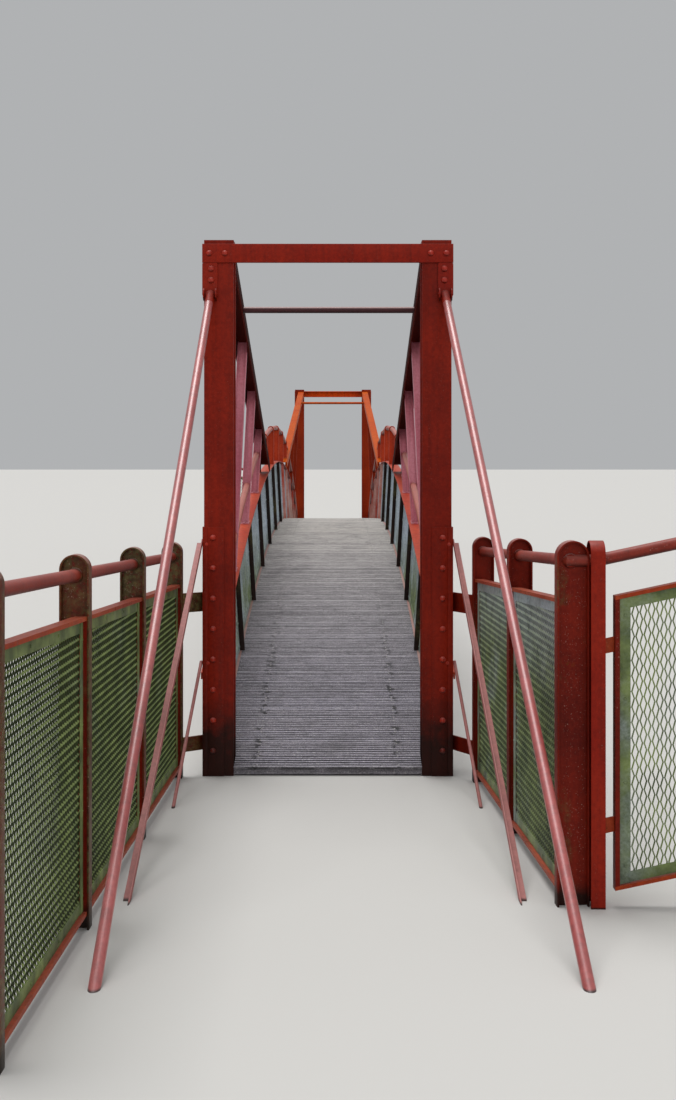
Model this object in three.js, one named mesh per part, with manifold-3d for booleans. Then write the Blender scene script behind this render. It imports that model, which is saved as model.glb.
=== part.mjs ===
// A small steel suspension footbridge with a humped timber deck: two portal towers, straight
// suspension beams that run down from the tower tops to arched top rails, hangers, handrails,
// mesh screens, stays to the ground and splayed fences at both ends.
// Millimetres. X runs across the bridge, Y along it, Z up. The origin is on the ground at mid-span.
// The near end is at -Y, and the far end is the near end turned half round about Z.

import * as THREE from 'three';
import { mergeVertices } from 'three/addons/utils/BufferGeometryUtils.js';
import Module from 'manifold-3d';

const wasm = await Module();
wasm.setup();

// Driving dimensions
const CLEAR = 0.3; // gap between pieces that touch
const SPAN = 15800; // between the centres of the towers
const TOWER_HEIGHT = 2680; // to the tops of the legs
const BEAM_START = 2660; // the top of a suspension beam, and of the crossbeam, at the tower
const LEG_GAP = 942; // clear way between the legs of a tower
const LEG = { width: 148, depth: 160, flange: 12, web: 9, cap: 14 };
const LEG_ANGLE = { leaf: 101, wrap: 70, thick: 7, height: 1245 };
const CROSSBEAM = { height: 95, thick: 12, flange: 70, overhang: 8 };
const DECK = { endTop: 60, rise: 837, board: 38 };
const STRINGER = { inner: 548, width: 54, depth: 150, ledge: 42, ledgeThick: 8 };
const CROSS_BEARER = { width: 60, depth: 80 };
const TOP_RAIL = { inner: 562, width: 88, midTop: 1545, drop: 1073, flange: 34, thick: 8 };
const SCREEN = { inner: 566, thick: 8, lean: 33, rows: 3 };
const MESH = { flat: 38, bar: 60 }; // the flats of a frame, and the bars that stand in for the strands
const LOWER_POST = { inner: 529, width: 36, thick: 10 };
const HANDRAIL = { radius: 22, offset: 595, midHeight: 1895, drop: 1279, sides: 10 };
const HANGER = { width: 60, depth: 50, flange: 6, web: 5, foot: 612 };
const BEAM = {
  width: 90,
  depth: 100,
  plate: 8,
  slope: 0.2,
  topOffset: 506, // from the middle of the bridge, at the tower
  railOffset: 600, // and where it meets the rail
  reach: 5650, // along the span
};
const TIE_ROD = { radius: 18, fromTower: 890 };
const PANEL_PITCH = 1240; // posts and hangers along the span
const HANGER_POSTS = [3, 4, 5]; // counted from mid-span
const SHORT_POSTS = [-2, -1, 0, 1, 2];
const MAIN_STAY = { radius: 20, top: 588, topHeight: 2385, leftFoot: 686, rightFoot: 800, run: 2800 };
const BRACKET = { width: 76, height: 165, thick: 10, socketRadius: 29, socketBack: 45, socketLength: 90 };
const MIDDLE_STAY = { leg: 34, thick: 6, topHeight: 1160, foot: 697, run: 1960 };
const SHORT_STAY = { radius: 8, topHeight: 570, foot: 700, run: 636 };
const FENCE = {
  bottomRail: 50,
  post: { width: 102, depth: 52, strap: 7, web: 6, overTube: 72 },
  rail: { width: 44, height: 14, upright: 16, gap: 4 },
  panel: { thick: 10, inset: 29, columns: 4, rows: 3 },
  // From the tower outwards: the first post, the step to the next, and how much each bay climbs.
  left: { x: 774, y: -8010, stepX: 35, stepY: -1110, bays: 3, tube: 1099, rail: 947, rise: 48 },
  right: { x: 764, y: -8100, stepX: 55, stepY: -945, bays: 2, tube: 1131, rail: 982, rise: 48 },
};
// The bay that turns off at the last post on the right. Its panel hangs on tabs, clear of the posts.
const BANK_FENCE = {
  offset: 92, stub: 30, bay: 1000, slope: 0.213, clear: 47, tabs: [0.2, 0.82], tabHeight: 54,
};

const HALF_SPAN = SPAN / 2;
const LEG_INNER = LEG_GAP / 2;
const LEG_OUTER = LEG_INNER + LEG.width;
const LEG_FACE = HALF_SPAN - LEG.depth / 2; // the face of a tower that looks along the span
const TOWER_FRONT = HALF_SPAN + LEG.depth / 2; // the face that looks at the path
const END = LEG_FACE - CLEAR; // where all that runs between the towers ends

// Finishes
const redPaint = new THREE.MeshStandardMaterial({ color: '#7a1d10', roughness: 0.45, metalness: 0.1 });
const stayPaint = new THREE.MeshStandardMaterial({ color: '#9b4038', roughness: 0.4, metalness: 0.1 });
const orangePaint = new THREE.MeshStandardMaterial({ color: '#b8401c', roughness: 0.45, metalness: 0.1 });
const galvanised = new THREE.MeshStandardMaterial({ color: '#75806a', roughness: 0.6, metalness: 0.6 });
const timber = new THREE.MeshStandardMaterial({ color: '#8c8984', roughness: 0.85, metalness: 0 });

const bridge = new THREE.Group();

// Solids

function solidOf(geometry) {
  const loose = geometry.index ? geometry.toNonIndexed() : geometry.clone();
  const bare = new THREE.BufferGeometry().setAttribute('position', loose.getAttribute('position'));
  const merged = mergeVertices(bare, 1e-3);
  const mesh = new wasm.Mesh({
    numProp: 3,
    vertProperties: merged.attributes.position.array,
    triVerts: new Uint32Array(merged.index.array),
  });
  return new wasm.Manifold(mesh);
}

function geometryOf(solid) {
  const mesh = solid.getMesh();
  const geometry = new THREE.BufferGeometry();
  geometry.setAttribute('position', new THREE.BufferAttribute(new Float32Array(mesh.vertProperties), 3));
  geometry.setIndex(new THREE.BufferAttribute(new Uint32Array(mesh.triVerts), 1));
  geometry.computeVertexNormals();
  return geometry;
}

const joined = (solids) => solids.reduce((whole, next) => whole.add(next));

function place(group, name, solid, material) {
  const mesh = new THREE.Mesh(geometryOf(solid), material);
  mesh.name = name;
  group.add(mesh);
}

function box(x0, x1, y0, y1, z0, z1) {
  const geometry = new THREE.BoxGeometry(Math.abs(x1 - x0), Math.abs(y1 - y0), Math.abs(z1 - z0));
  return solidOf(geometry.translate((x0 + x1) / 2, (y0 + y1) / 2, (z0 + z1) / 2));
}

// An outline of [y, z] points, extruded across the bridge from x0 to x1.
function sideProfile(outline, x0, x1) {
  const shape = new THREE.Shape(outline.map(([y, z]) => new THREE.Vector2(y, z)));
  const geometry = new THREE.ExtrudeGeometry(shape, { depth: Math.abs(x1 - x0), bevelEnabled: false });
  const turn = new THREE.Matrix4().makeBasis(
    new THREE.Vector3(0, 1, 0), new THREE.Vector3(0, 0, 1), new THREE.Vector3(1, 0, 0));
  return geometry.applyMatrix4(turn).translate(Math.min(x0, x1), 0, 0);
}

// A section shape extruded along the straight line between two points. The section's x axis lies
// across the line and level, as near as it can to the given direction.
function bar(shape, from, to, across = new THREE.Vector3(1, 0, 0)) {
  const along = to.clone().sub(from);
  const w = along.clone().normalize();
  const u = across.clone().addScaledVector(w, -across.dot(w)).normalize();
  const v = w.clone().cross(u);
  const geometry = new THREE.ExtrudeGeometry(shape, { depth: along.length(), bevelEnabled: false });
  const turn = new THREE.Matrix4().makeBasis(u, v, w);
  return solidOf(geometry.applyMatrix4(turn).translate(from.x, from.y, from.z));
}

const point = (x, y, z) => new THREE.Vector3(x, y, z);

function roundSection(radius, sides) {
  const shape = new THREE.Shape();
  for (let i = 0; i < sides; i++) {
    const turn = (2 * Math.PI * (i + 0.5)) / sides;
    shape[i ? 'lineTo' : 'moveTo'](radius * Math.cos(turn), radius * Math.sin(turn));
  }
  return shape;
}

// An I section, with its flanges at the ends of its y axis when upright is true, else of its x axis.
function iSection(width, depth, flange, web, upright) {
  const [across, along] = upright ? [width / 2, depth / 2] : [depth / 2, width / 2];
  const corners = [
    [-across, -along],
    [across, -along],
    [across, flange - along],
    [web / 2, flange - along],
    [web / 2, along - flange],
    [across, along - flange],
    [across, along],
    [-across, along],
    [-across, along - flange],
    [-web / 2, along - flange],
    [-web / 2, flange - along],
    [-across, flange - along],
  ];
  const turned = corners.map(([u, v]) => (upright ? [u, v] : [v, -u]));
  return new THREE.Shape(turned.map(([u, v]) => new THREE.Vector2(u, v)));
}

// A channel that is open towards +y, which is downwards on a bar that runs along the bridge.
function channelSection(width, depth, plate) {
  const half = width / 2;
  const corners = [
    [-half, -depth / 2],
    [half, -depth / 2],
    [half, depth / 2],
    [half - plate, depth / 2],
    [half - plate, plate - depth / 2],
    [plate - half, plate - depth / 2],
    [plate - half, depth / 2],
    [-half, depth / 2],
  ];
  return new THREE.Shape(corners.map(([u, v]) => new THREE.Vector2(u, v)));
}

// The arched lines of the span, as heights over y

const parabola = (middle, drop) => (y) => middle - drop * (y / HALF_SPAN) ** 2;
const deckTop = parabola(DECK.endTop + DECK.rise, DECK.rise);
const railTop = parabola(TOP_RAIL.midTop, TOP_RAIL.drop);
const handrailLine = parabola(HANDRAIL.midHeight, HANDRAIL.drop);
const beamTop = (y) => BEAM_START - BEAM.slope * (HALF_SPAN - Math.abs(y));
const beamHalf = (BEAM.depth / 2) * Math.hypot(1, BEAM.slope); // half its depth, measured plumb

// Every arched piece has its corners at the same stations: two a panel, the towers' faces, and the end.
function stations(limit) {
  const step = PANEL_PITCH / 2;
  const half = [];
  for (let y = step; y < END; y += step) half.push(y);
  half.push(END);
  if (limit > END) half.push(limit);
  return [...half.map((y) => -y).reverse(), 0, ...half];
}

function archStrip(top, bottom, limit, x0, x1) {
  const along = stations(limit);
  const upper = along.map((y) => [y, top(y)]);
  const lower = along.map((y) => [y, bottom(y)]).reverse();
  return solidOf(sideProfile([...upper, ...lower], x0, x1));
}

function handrailTube(x, radius) {
  const ends = [-1, 1].map((end) => point(x, end * HALF_SPAN, handrailLine(HALF_SPAN)));
  const crown = point(x, 0, 2 * HANDRAIL.midHeight - handrailLine(HALF_SPAN));
  const path = new THREE.QuadraticBezierCurve3(ends[0], crown, ends[1]);
  const shape = roundSection(radius, HANDRAIL.sides);
  const tube = new THREE.ExtrudeGeometry(shape, { steps: 20, extrudePath: path, bevelEnabled: false });
  return solidOf(tube).intersect(box(-1000, 1000, -END, END, 0, 3000));
}

// The deck and the frame under it

function deckBoards() {
  const whole = archStrip(deckTop, (y) => deckTop(y) - DECK.board, TOWER_FRONT,
    CLEAR - STRINGER.inner, STRINGER.inner - CLEAR);
  const notches = [];
  for (const side of [-1, 1])
    for (const end of [-1, 1])
      notches.push(box(side * (LEG_INNER - CLEAR), side * STRINGER.inner,
        end * END, end * (TOWER_FRONT + 20), -100, 400));
  return notches.reduce((deck, notch) => deck.subtract(notch), whole);
}

function deckFrame() {
  const solids = [];
  const ledgeTop = (y) => deckTop(y) - DECK.board - CLEAR;
  for (const side of [-1, 1]) {
    solids.push(archStrip(deckTop, (y) => Math.max(0, deckTop(y) - DECK.board - STRINGER.depth), END,
      side * STRINGER.inner, side * (STRINGER.inner + STRINGER.width)));
    solids.push(archStrip(ledgeTop, (y) => ledgeTop(y) - STRINGER.ledgeThick, END,
      side * (STRINGER.inner - STRINGER.ledge), side * (STRINGER.inner + 1)));
  }
  for (let k = -5; k <= 5; k++) {
    const y = k * PANEL_PITCH;
    const half = CROSS_BEARER.width / 2;
    const top = Math.min(ledgeTop(y - half), ledgeTop(y + half)) - 4;
    const bottom = top - CROSS_BEARER.depth;
    solids.push(box(-STRINGER.inner - 1, STRINGER.inner + 1, y - half, y + half, bottom, top));
  }
  return joined(solids);
}

// The sides of the span

// Leans a thin upright solid outwards: its upper corners move away from the middle of the bridge.
function leaned(geometry, side, middle) {
  const place = geometry.getAttribute('position');
  for (let i = 0; i < place.count; i++)
    if (place.getZ(i) > middle(place.getY(i))) place.setX(i, place.getX(i) + side * SCREEN.lean);
  return geometry;
}

const screenMiddle = (y) => (deckTop(y) + railTop(y)) / 2;

function topRail(side) {
  const inner = TOP_RAIL.inner;
  const outer = inner + TOP_RAIL.width;
  const plateBottom = (y) => railTop(y) - TOP_RAIL.thick;
  const lipBottom = (y) => railTop(y) - TOP_RAIL.flange;
  const solids = [archStrip(railTop, plateBottom, END, side * inner, side * outer)];
  solids.push(archStrip(railTop, lipBottom, END, side * (outer - TOP_RAIL.thick), side * outer));
  const half = LOWER_POST.thick / 2;
  for (let k = -5; k <= 5; k++) {
    const y = k * PANEL_PITCH;
    const foot = Math.max(deckTop(y - half), deckTop(y + half)) + CLEAR + 0.5;
    const head = plateBottom(y) + 3;
    const outline = [[y - half, foot], [y + half, foot], [y + half, head], [y - half, head]];
    const post = sideProfile(outline, side * LOWER_POST.inner, side * (LOWER_POST.inner + LOWER_POST.width));
    solids.push(solidOf(leaned(post, side, screenMiddle)));
  }
  return joined(solids);
}

// The outlines of a plain grid of openings in a framed sheet that lies between two lines of levels.
// An opening's upper and lower edges follow the lines in the given number of steps.
function openings(from, to, low, high, columns, rows, steps = 1) {
  const { flat, bar } = MESH;
  const width = (to - from - 2 * flat + bar) / columns - bar;
  const level = (row, at) => low(at) + flat + (row * (high(at) - low(at) - 2 * flat + bar)) / rows;
  const outlines = [];
  for (let column = 0; column < columns; column++) {
    const start = from + flat + column * (width + bar);
    const along = Array.from({ length: steps + 1 }, (_, i) => start + (i * width) / steps);
    for (let row = 0; row < rows; row++) {
      const upper = along.map((at) => [at, level(row + 1, at) - bar]);
      const lower = along.map((at) => [at, level(row, at)]).reverse();
      outlines.push([...upper, ...lower]);
    }
  }
  return outlines;
}

// A screen is framed between each two posts, so it has one column of openings a panel.
function meshScreen(side) {
  const along = stations(END);
  const high = (y) => railTop(y) - TOP_RAIL.thick - CLEAR;
  const low = (y) => deckTop(y) + CLEAR;
  const upper = along.map((y) => [y, high(y)]);
  const lower = along.map((y) => [y, low(y)]).reverse();
  const sheet = sideProfile([...upper, ...lower], side * SCREEN.inner, side * (SCREEN.inner + SCREEN.thick));
  const posts = along.filter((y) => Math.abs(y) === END || y % PANEL_PITCH === 0);
  const cutters = posts.slice(1).flatMap((post, i) => {
    const [from, to] = [posts[i] + LOWER_POST.thick, post - LOWER_POST.thick];
    const outlines = openings(from, to, low, high, 1, SCREEN.rows, 2);
    return outlines.map((outline) => solidOf(sideProfile(outline, side * 500, side * 700)));
  });
  return solidOf(leaned(sheet, side, screenMiddle)).subtract(joined(cutters));
}

const aboveRail = (side) => archStrip((y) => railTop(y) + CLEAR, (y) => railTop(y) - 300, HALF_SPAN,
  side * 450, side * 750);

// A short post of I section under the handrail, with its flange bent round over the top.
function shortPost(x, y, foot, head, width, depth, flange, web) {
  const radius = width / 2;
  const centre = head - radius;
  const outline = (r, bottom) => {
    const shape = new THREE.Shape();
    shape.moveTo(-r, bottom);
    shape.lineTo(r, bottom);
    shape.absarc(0, centre, r, 0, Math.PI, false);
    return shape;
  };
  const strap = new THREE.Shape();
  strap.moveTo(radius, foot);
  strap.absarc(0, centre, radius, 0, Math.PI, false);
  strap.lineTo(-radius, foot);
  strap.lineTo(flange - radius, foot);
  strap.absarc(0, centre, radius - flange, Math.PI, 0, true);
  strap.lineTo(radius - flange, foot);
  const upright = (shape, thick) => {
    const options = { depth: thick, bevelEnabled: false, curveSegments: 6 };
    const geometry = new THREE.ExtrudeGeometry(shape, options);
    return solidOf(geometry.translate(0, 0, -thick / 2).rotateX(Math.PI / 2).translate(x, y, 0));
  };
  return upright(strap, depth).add(upright(outline(radius - flange / 2, foot), web));
}

function handrail(side) {
  const x = side * HANDRAIL.offset;
  const cutter = aboveRail(side);
  let whole = handrailTube(x, HANDRAIL.radius);
  for (const k of SHORT_POSTS) {
    const y = k * PANEL_PITCH;
    const head = handrailLine(y) + HANGER.width / 2;
    let post = shortPost(x, y, railTop(y) - 60, head, HANGER.width, HANGER.depth, HANGER.flange, HANGER.web);
    post = post.subtract(cutter);
    if (Math.abs(k) === 2) post = post.subtract(underBeam(side, Math.sign(y)));
    whole = whole.add(post);
  }
  return whole;
}

// The suspension beams and their hangers. All of a tower's pieces are made at the near end.

function beamLine(side, y) {
  const share = (HALF_SPAN - Math.abs(y)) / BEAM.reach;
  const offset = BEAM.topOffset + share * (BEAM.railOffset - BEAM.topOffset);
  return point(side * offset, y, beamTop(y) - beamHalf);
}

// What lies below the beam's top face, with a little clearance, to seat a post on it.
function underBeam(side, end) {
  const start = end * (HALF_SPAN - BEAM.reach - 400);
  const stop = end * HALF_SPAN;
  const outline = [[start, beamTop(start) + CLEAR], [stop, beamTop(stop) + CLEAR],
    [stop, beamTop(stop) - 400], [start, beamTop(start) - 400]];
  return solidOf(sideProfile(outline, side * 450, side * 750));
}

// What lies above the middle of the beam's top plate, to trim the hangers' heads.
function overBeam(side) {
  const start = -HALF_SPAN + BEAM.reach + 400;
  const level = (y) => beamTop(y) - BEAM.plate / 2;
  const outline = [[start, level(start)], [-HALF_SPAN, level(-HALF_SPAN)],
    [-HALF_SPAN, level(-HALF_SPAN) + 400], [start, level(start) + 400]];
  return solidOf(sideProfile(outline, side * 400, side * 800));
}

function suspensionBeam(side) {
  const start = beamLine(side, -HALF_SPAN);
  const stop = beamLine(side, -HALF_SPAN + BEAM.reach);
  let beam = bar(channelSection(BEAM.width, BEAM.depth, BEAM.plate), start, stop);
  beam = beam.subtract(box(side * 400, side * 800, -END, -END - 400, 2000, 3000));
  const hangers = HANGER_POSTS.map((k) => {
    const y = -k * PANEL_PITCH;
    const foot = point(side * HANGER.foot, y, railTop(y) - 20);
    const head = beamLine(side, y);
    head.z += beamHalf - BEAM.plate / 2;
    return bar(iSection(HANGER.width, HANGER.depth, HANGER.flange, HANGER.web, false), foot, head)
      .subtract(overBeam(side));
  });
  const whole = joined([beam, ...hangers]);
  const passing = handrailTube(side * HANDRAIL.offset, HANDRAIL.radius + CLEAR);
  return whole.subtract(aboveRail(side)).subtract(passing);
}

function tieRod() {
  const y = -HALF_SPAN + TIE_ROD.fromTower;
  const centre = beamLine(1, y);
  const half = centre.x - BEAM.width / 2 - CLEAR;
  return bar(roundSection(TIE_ROD.radius, 12), point(-half, y, centre.z), point(half, y, centre.z),
    point(0, 1, 0));
}

// The towers

function towerLeg(side) {
  const y = -HALF_SPAN;
  const x = side * (LEG_INNER + LEG.width / 2);
  const top = TOWER_HEIGHT - LEG.cap;
  const section = iSection(LEG.width, LEG.depth, LEG.flange, LEG.web, true);
  const column = bar(section, point(x, y, 0), point(x, y, top));
  const halfWidth = LEG.width / 2;
  const halfDepth = LEG.depth / 2;
  const cap = box(x - halfWidth, x + halfWidth, y - halfDepth, y + halfDepth, top, TOWER_HEIGHT);
  return column.add(cap);
}

function legAngle(side) {
  const face = -TOWER_FRONT - CLEAR;
  const outer = LEG_OUTER + CLEAR;
  const front = box(side * (LEG_OUTER - LEG_ANGLE.leaf), side * (outer + LEG_ANGLE.thick),
    face - LEG_ANGLE.thick, face, 0, LEG_ANGLE.height);
  const wrap = box(side * outer, side * (outer + LEG_ANGLE.thick),
    face - LEG_ANGLE.thick, face + LEG_ANGLE.wrap, 0, LEG_ANGLE.height);
  return front.add(wrap);
}

function crossbeam() {
  const face = -TOWER_FRONT - CLEAR;
  const end = LEG_OUTER + CROSSBEAM.overhang;
  const front = box(-end, end, face - CROSSBEAM.thick, face, BEAM_START - CROSSBEAM.height, BEAM_START);
  const flange = box(CLEAR - LEG_INNER, LEG_INNER - CLEAR, face - 1, face + CROSSBEAM.flange,
    BEAM_START - CROSSBEAM.thick, BEAM_START);
  return front.add(flange);
}

function mainStayLine(side) {
  const top = point(side * MAIN_STAY.top, -TOWER_FRONT - 30, MAIN_STAY.topHeight);
  const splay = side < 0 ? MAIN_STAY.leftFoot : MAIN_STAY.rightFoot;
  const foot = point(side * splay, -TOWER_FRONT - MAIN_STAY.run, 0);
  return { top, foot, along: foot.clone().sub(top).normalize() };
}

function stayBracket(side) {
  const face = -TOWER_FRONT - CLEAR;
  const top = BEAM_START - CROSSBEAM.height - CLEAR;
  const outer = LEG_OUTER + CROSSBEAM.overhang;
  const plate = box(side * (outer - BRACKET.width), side * outer, face - BRACKET.thick, face,
    top - BRACKET.height, top);
  const line = mainStayLine(side);
  const start = line.top.clone().addScaledVector(line.along, -BRACKET.socketBack);
  const stop = start.clone().addScaledVector(line.along, BRACKET.socketLength);
  const socket = bar(roundSection(BRACKET.socketRadius, 12), start, stop);
  return plate.add(socket).subtract(box(side * 400, side * 800, face, face + 200, 2000, 2700));
}

const ground = () => box(-3000, 3000, -14000, 0, -400, 0);

function mainStay(side) {
  const line = mainStayLine(side);
  const socketEnd = BRACKET.socketLength - BRACKET.socketBack;
  const start = line.top.clone().addScaledVector(line.along, socketEnd + CLEAR);
  const stop = line.foot.clone().addScaledVector(line.along, 60);
  return bar(roundSection(MAIN_STAY.radius, 12), start, stop).subtract(ground());
}

function middleStay(side) {
  const { leg, thick } = MIDDLE_STAY;
  const shape = new THREE.Shape([[0, 0], [leg, 0], [leg, thick], [thick, thick], [thick, leg], [0, leg]]
    .map(([x, y]) => new THREE.Vector2(side * x, y)));
  const x = side * (LEG_OUTER + 2 * CLEAR + LEG_ANGLE.thick);
  const top = point(x, -TOWER_FRONT + 20, MIDDLE_STAY.topHeight);
  const foot = point(side * MIDDLE_STAY.foot, -TOWER_FRONT - MIDDLE_STAY.run, 0);
  const beyond = foot.clone().addScaledVector(foot.clone().sub(top).normalize(), 80);
  return bar(shape, top, beyond).subtract(ground());
}

function shortStay(side) {
  const x = side * (LEG_OUTER + 2 * CLEAR + LEG_ANGLE.thick + SHORT_STAY.radius);
  const top = point(x, -TOWER_FRONT + 20, SHORT_STAY.topHeight);
  const foot = point(side * SHORT_STAY.foot, -TOWER_FRONT - SHORT_STAY.run, 0);
  const beyond = foot.clone().addScaledVector(foot.clone().sub(top).normalize(), 40);
  return bar(roundSection(SHORT_STAY.radius, 8), top, beyond).subtract(ground());
}

// The fences beside the path. Each is made along its own x axis, with the path on its -y side.

const upAlong = (outline, y0, y1) => {
  const shape = new THREE.Shape(outline.map(([x, z]) => new THREE.Vector2(x, z)));
  const geometry = new THREE.ExtrudeGeometry(shape, { depth: y1 - y0, bevelEnabled: false });
  return solidOf(geometry.rotateX(Math.PI / 2).translate(0, y1, 0));
};

function fencePost(x, tubeHeight) {
  const { width, depth, strap, web, overTube } = FENCE.post;
  const post = shortPost(0, 0, 0, tubeHeight + overTube, width, depth, strap, web);
  return post.rotate([0, 0, 90]).translate([x, 0, 0]);
}

// The tube and the red frame of one bay, which has an upright beside each post.
function fenceBay(x, length, tube, rail, slope, bottomSlope, clear = 0) {
  const { width, height, upright } = FENCE.rail;
  const inset = FENCE.post.depth / 2 + FENCE.rail.gap + clear;
  const from = clear ? x + inset - upright : x + FENCE.post.web / 2 - 1;
  const to = 2 * x + length - from;
  const y = FENCE.panel.inset - FENCE.post.width / 2;
  const bottom = (at) => FENCE.bottomRail + bottomSlope * (at - x);
  const top = (at) => rail + slope * (at - x);
  const sloped = (low, high, start, stop) => upAlong(
    [[start, low(start)], [stop, low(stop)], [stop, high(stop)], [start, high(start)]],
    y - width / 2, y + width / 2);
  const above = (line) => (at) => line(at) + height;
  const solids = [
    bar(roundSection(HANDRAIL.radius, HANDRAIL.sides), point(x, 0, tube),
      point(x + length, 0, tube + slope * length), point(0, 1, 0)),
    sloped(top, above(top), from, to),
    sloped(bottom, above(bottom), from, to),
    sloped(bottom, above(top), x + inset - upright, x + inset),
    sloped(bottom, above(top), x + length - inset, x + length - inset + upright),
  ];
  if (clear)
    for (const share of BANK_FENCE.tabs)
      for (const [start, stop] of [[x, x + inset], [x + length - inset, x + length]]) {
        const level = (at) => bottom(at) + share * (top(at) - bottom(at));
        solids.push(upAlong(
          [[start, level(start)], [stop, level(stop)], [stop, level(stop) + BANK_FENCE.tabHeight],
            [start, level(start) + BANK_FENCE.tabHeight]],
          y - FENCE.post.web / 2, y + FENCE.post.web / 2));
      }
  return solids;
}

function fencePanel(x, length, rail, slope, bottomSlope, clear = 0) {
  const inset = FENCE.post.depth / 2 + FENCE.rail.gap + clear + CLEAR;
  const from = x + inset;
  const to = x + length - inset;
  const y = FENCE.panel.inset - FENCE.post.width / 2;
  const bottom = (at) => FENCE.bottomRail + bottomSlope * (at - x) + FENCE.rail.height + CLEAR;
  const top = (at) => rail + slope * (at - x) - CLEAR;
  const outline = [[from, bottom(from)], [to, bottom(to)], [to, top(to)], [from, top(from)]];
  const { thick, columns, rows } = FENCE.panel;
  const outlines = openings(from, to, bottom, top, columns, rows);
  const cutters = outlines.map((cut) => upAlong(cut, y - thick, y + thick));
  return upAlong(outline, y - thick / 2, y + thick / 2).subtract(joined(cutters));
}

// Two flat plates tie the first post of a fence to the leg of the tower.
function fenceTies(side, row) {
  const face = LEG_OUTER + 2 * CLEAR + LEG_ANGLE.thick;
  const start = point(side * (face - 15), -TOWER_FRONT + 55, 0);
  const post = point(side * (row.x - 30), row.y, 0);
  const along = post.clone().sub(start).normalize();
  const flat = new THREE.Vector3(-along.y, along.x, 0);
  return [[818, 915], [122, 196]].map(([low, high]) => {
    const corners = [[-4, low], [4, low], [4, high], [-4, high]];
    const shape = new THREE.Shape(corners.map(([u, v]) => new THREE.Vector2(u, v)));
    const depth = post.distanceTo(start);
    const geometry = new THREE.ExtrudeGeometry(shape, { depth, bevelEnabled: false });
    const turn = new THREE.Matrix4().makeBasis(flat, new THREE.Vector3(0, 0, 1), along);
    const plate = solidOf(geometry.applyMatrix4(turn).translate(start.x, start.y, 0));
    const leg = box(side * (face - 100), side * face, -TOWER_FRONT - 200, -TOWER_FRONT + 200, 0, 1000);
    return plate.subtract(leg);
  });
}

function fence(group, end, hand, side, row) {
  const pitch = Math.hypot(row.stepX, row.stepY);
  const slope = row.rise / pitch;
  // Local +y looks away from the path: the fence on the left is mirrored to get there.
  const toPlace = new THREE.Matrix4().makeTranslation(side * row.x, row.y, 0)
    .multiply(new THREE.Matrix4().makeRotationZ(Math.atan2(row.stepY, side * row.stepX)));
  const moved = (solid) => {
    const faced = side < 0 ? solid.mirror([0, 1, 0]) : solid;
    return solidOf(geometryOf(faced).applyMatrix4(toPlace));
  };
  const frame = [];
  for (let i = 0; i <= row.bays; i++) frame.push(fencePost(i * pitch, row.tube + i * row.rise));
  for (let i = 0; i < row.bays; i++) {
    const tube = row.tube + i * row.rise;
    const rail = row.rail + i * row.rise;
    frame.push(...fenceBay(i * pitch, pitch, tube, rail, slope, 0));
    const panel = moved(fencePanel(i * pitch, pitch, rail, slope, 0));
    place(group, `${end}_${hand}_fence_panel_${i + 1}`, panel, galvanised);
  }
  const whole = [moved(joined(frame)), ...fenceTies(side, row)];
  if (side > 0) {
    const last = point(row.x + row.bays * row.stepX, row.y + row.bays * row.stepY, 0);
    const tube = row.tube + row.bays * row.rise;
    const rail = row.rail + row.bays * row.rise;
    const { offset, stub, bay, slope: climb, clear } = BANK_FENCE;
    const bank = [fencePost(0, tube), fencePost(bay, tube + climb * bay)];
    bank.push(...fenceBay(0, bay, tube, rail, climb, climb, clear));
    bank.push(bar(roundSection(HANDRAIL.radius, HANDRAIL.sides), point(-offset - stub, 0, tube),
      point(0, 0, tube), point(0, 1, 0)));
    whole.push(joined(bank).translate([last.x + offset, last.y, 0]));
    const panel = fencePanel(0, bay, rail, climb, climb, clear).translate([last.x + offset, last.y, 0]);
    place(group, `${end}_bank_fence_panel`, panel, galvanised);
  }
  place(group, `${end}_${hand}_fence_frame`, joined(whole), redPaint);
}

// Putting the bridge together

place(bridge, 'deck_boards', deckBoards(), timber);
place(bridge, 'deck_frame', deckFrame(), redPaint);
for (const [hand, side] of [['left', -1], ['right', 1]]) {
  place(bridge, `${hand}_top_rail`, topRail(side), orangePaint);
  place(bridge, `${hand}_mesh_screen`, meshScreen(side), galvanised);
  place(bridge, `${hand}_handrail`, handrail(side), orangePaint);
}

for (const [end, turn] of [['near', 0], ['far', Math.PI]]) {
  const tower = new THREE.Group();
  tower.rotation.z = turn;
  place(tower, `${end}_crossbeam`, crossbeam(), redPaint);
  place(tower, `${end}_tie_rod`, tieRod(), redPaint);
  for (const side of [-1, 1]) {
    const hand = (side < 0) === (turn === 0) ? 'left' : 'right';
    place(tower, `${end}_${hand}_leg`, towerLeg(side), redPaint);
    place(tower, `${end}_${hand}_leg_angle`, legAngle(side), redPaint);
    place(tower, `${end}_${hand}_suspension_beam`, suspensionBeam(side), redPaint);
    place(tower, `${end}_${hand}_stay_bracket`, stayBracket(side), redPaint);
    place(tower, `${end}_${hand}_main_stay`, mainStay(side), stayPaint);
    place(tower, `${end}_${hand}_middle_stay`, middleStay(side), stayPaint);
    place(tower, `${end}_${hand}_short_stay`, shortStay(side), stayPaint);
    fence(tower, end, hand, side, side < 0 ? FENCE.left : FENCE.right);
  }
  bridge.add(tower);
}

export default bridge;
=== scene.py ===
import functools
import math

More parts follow.
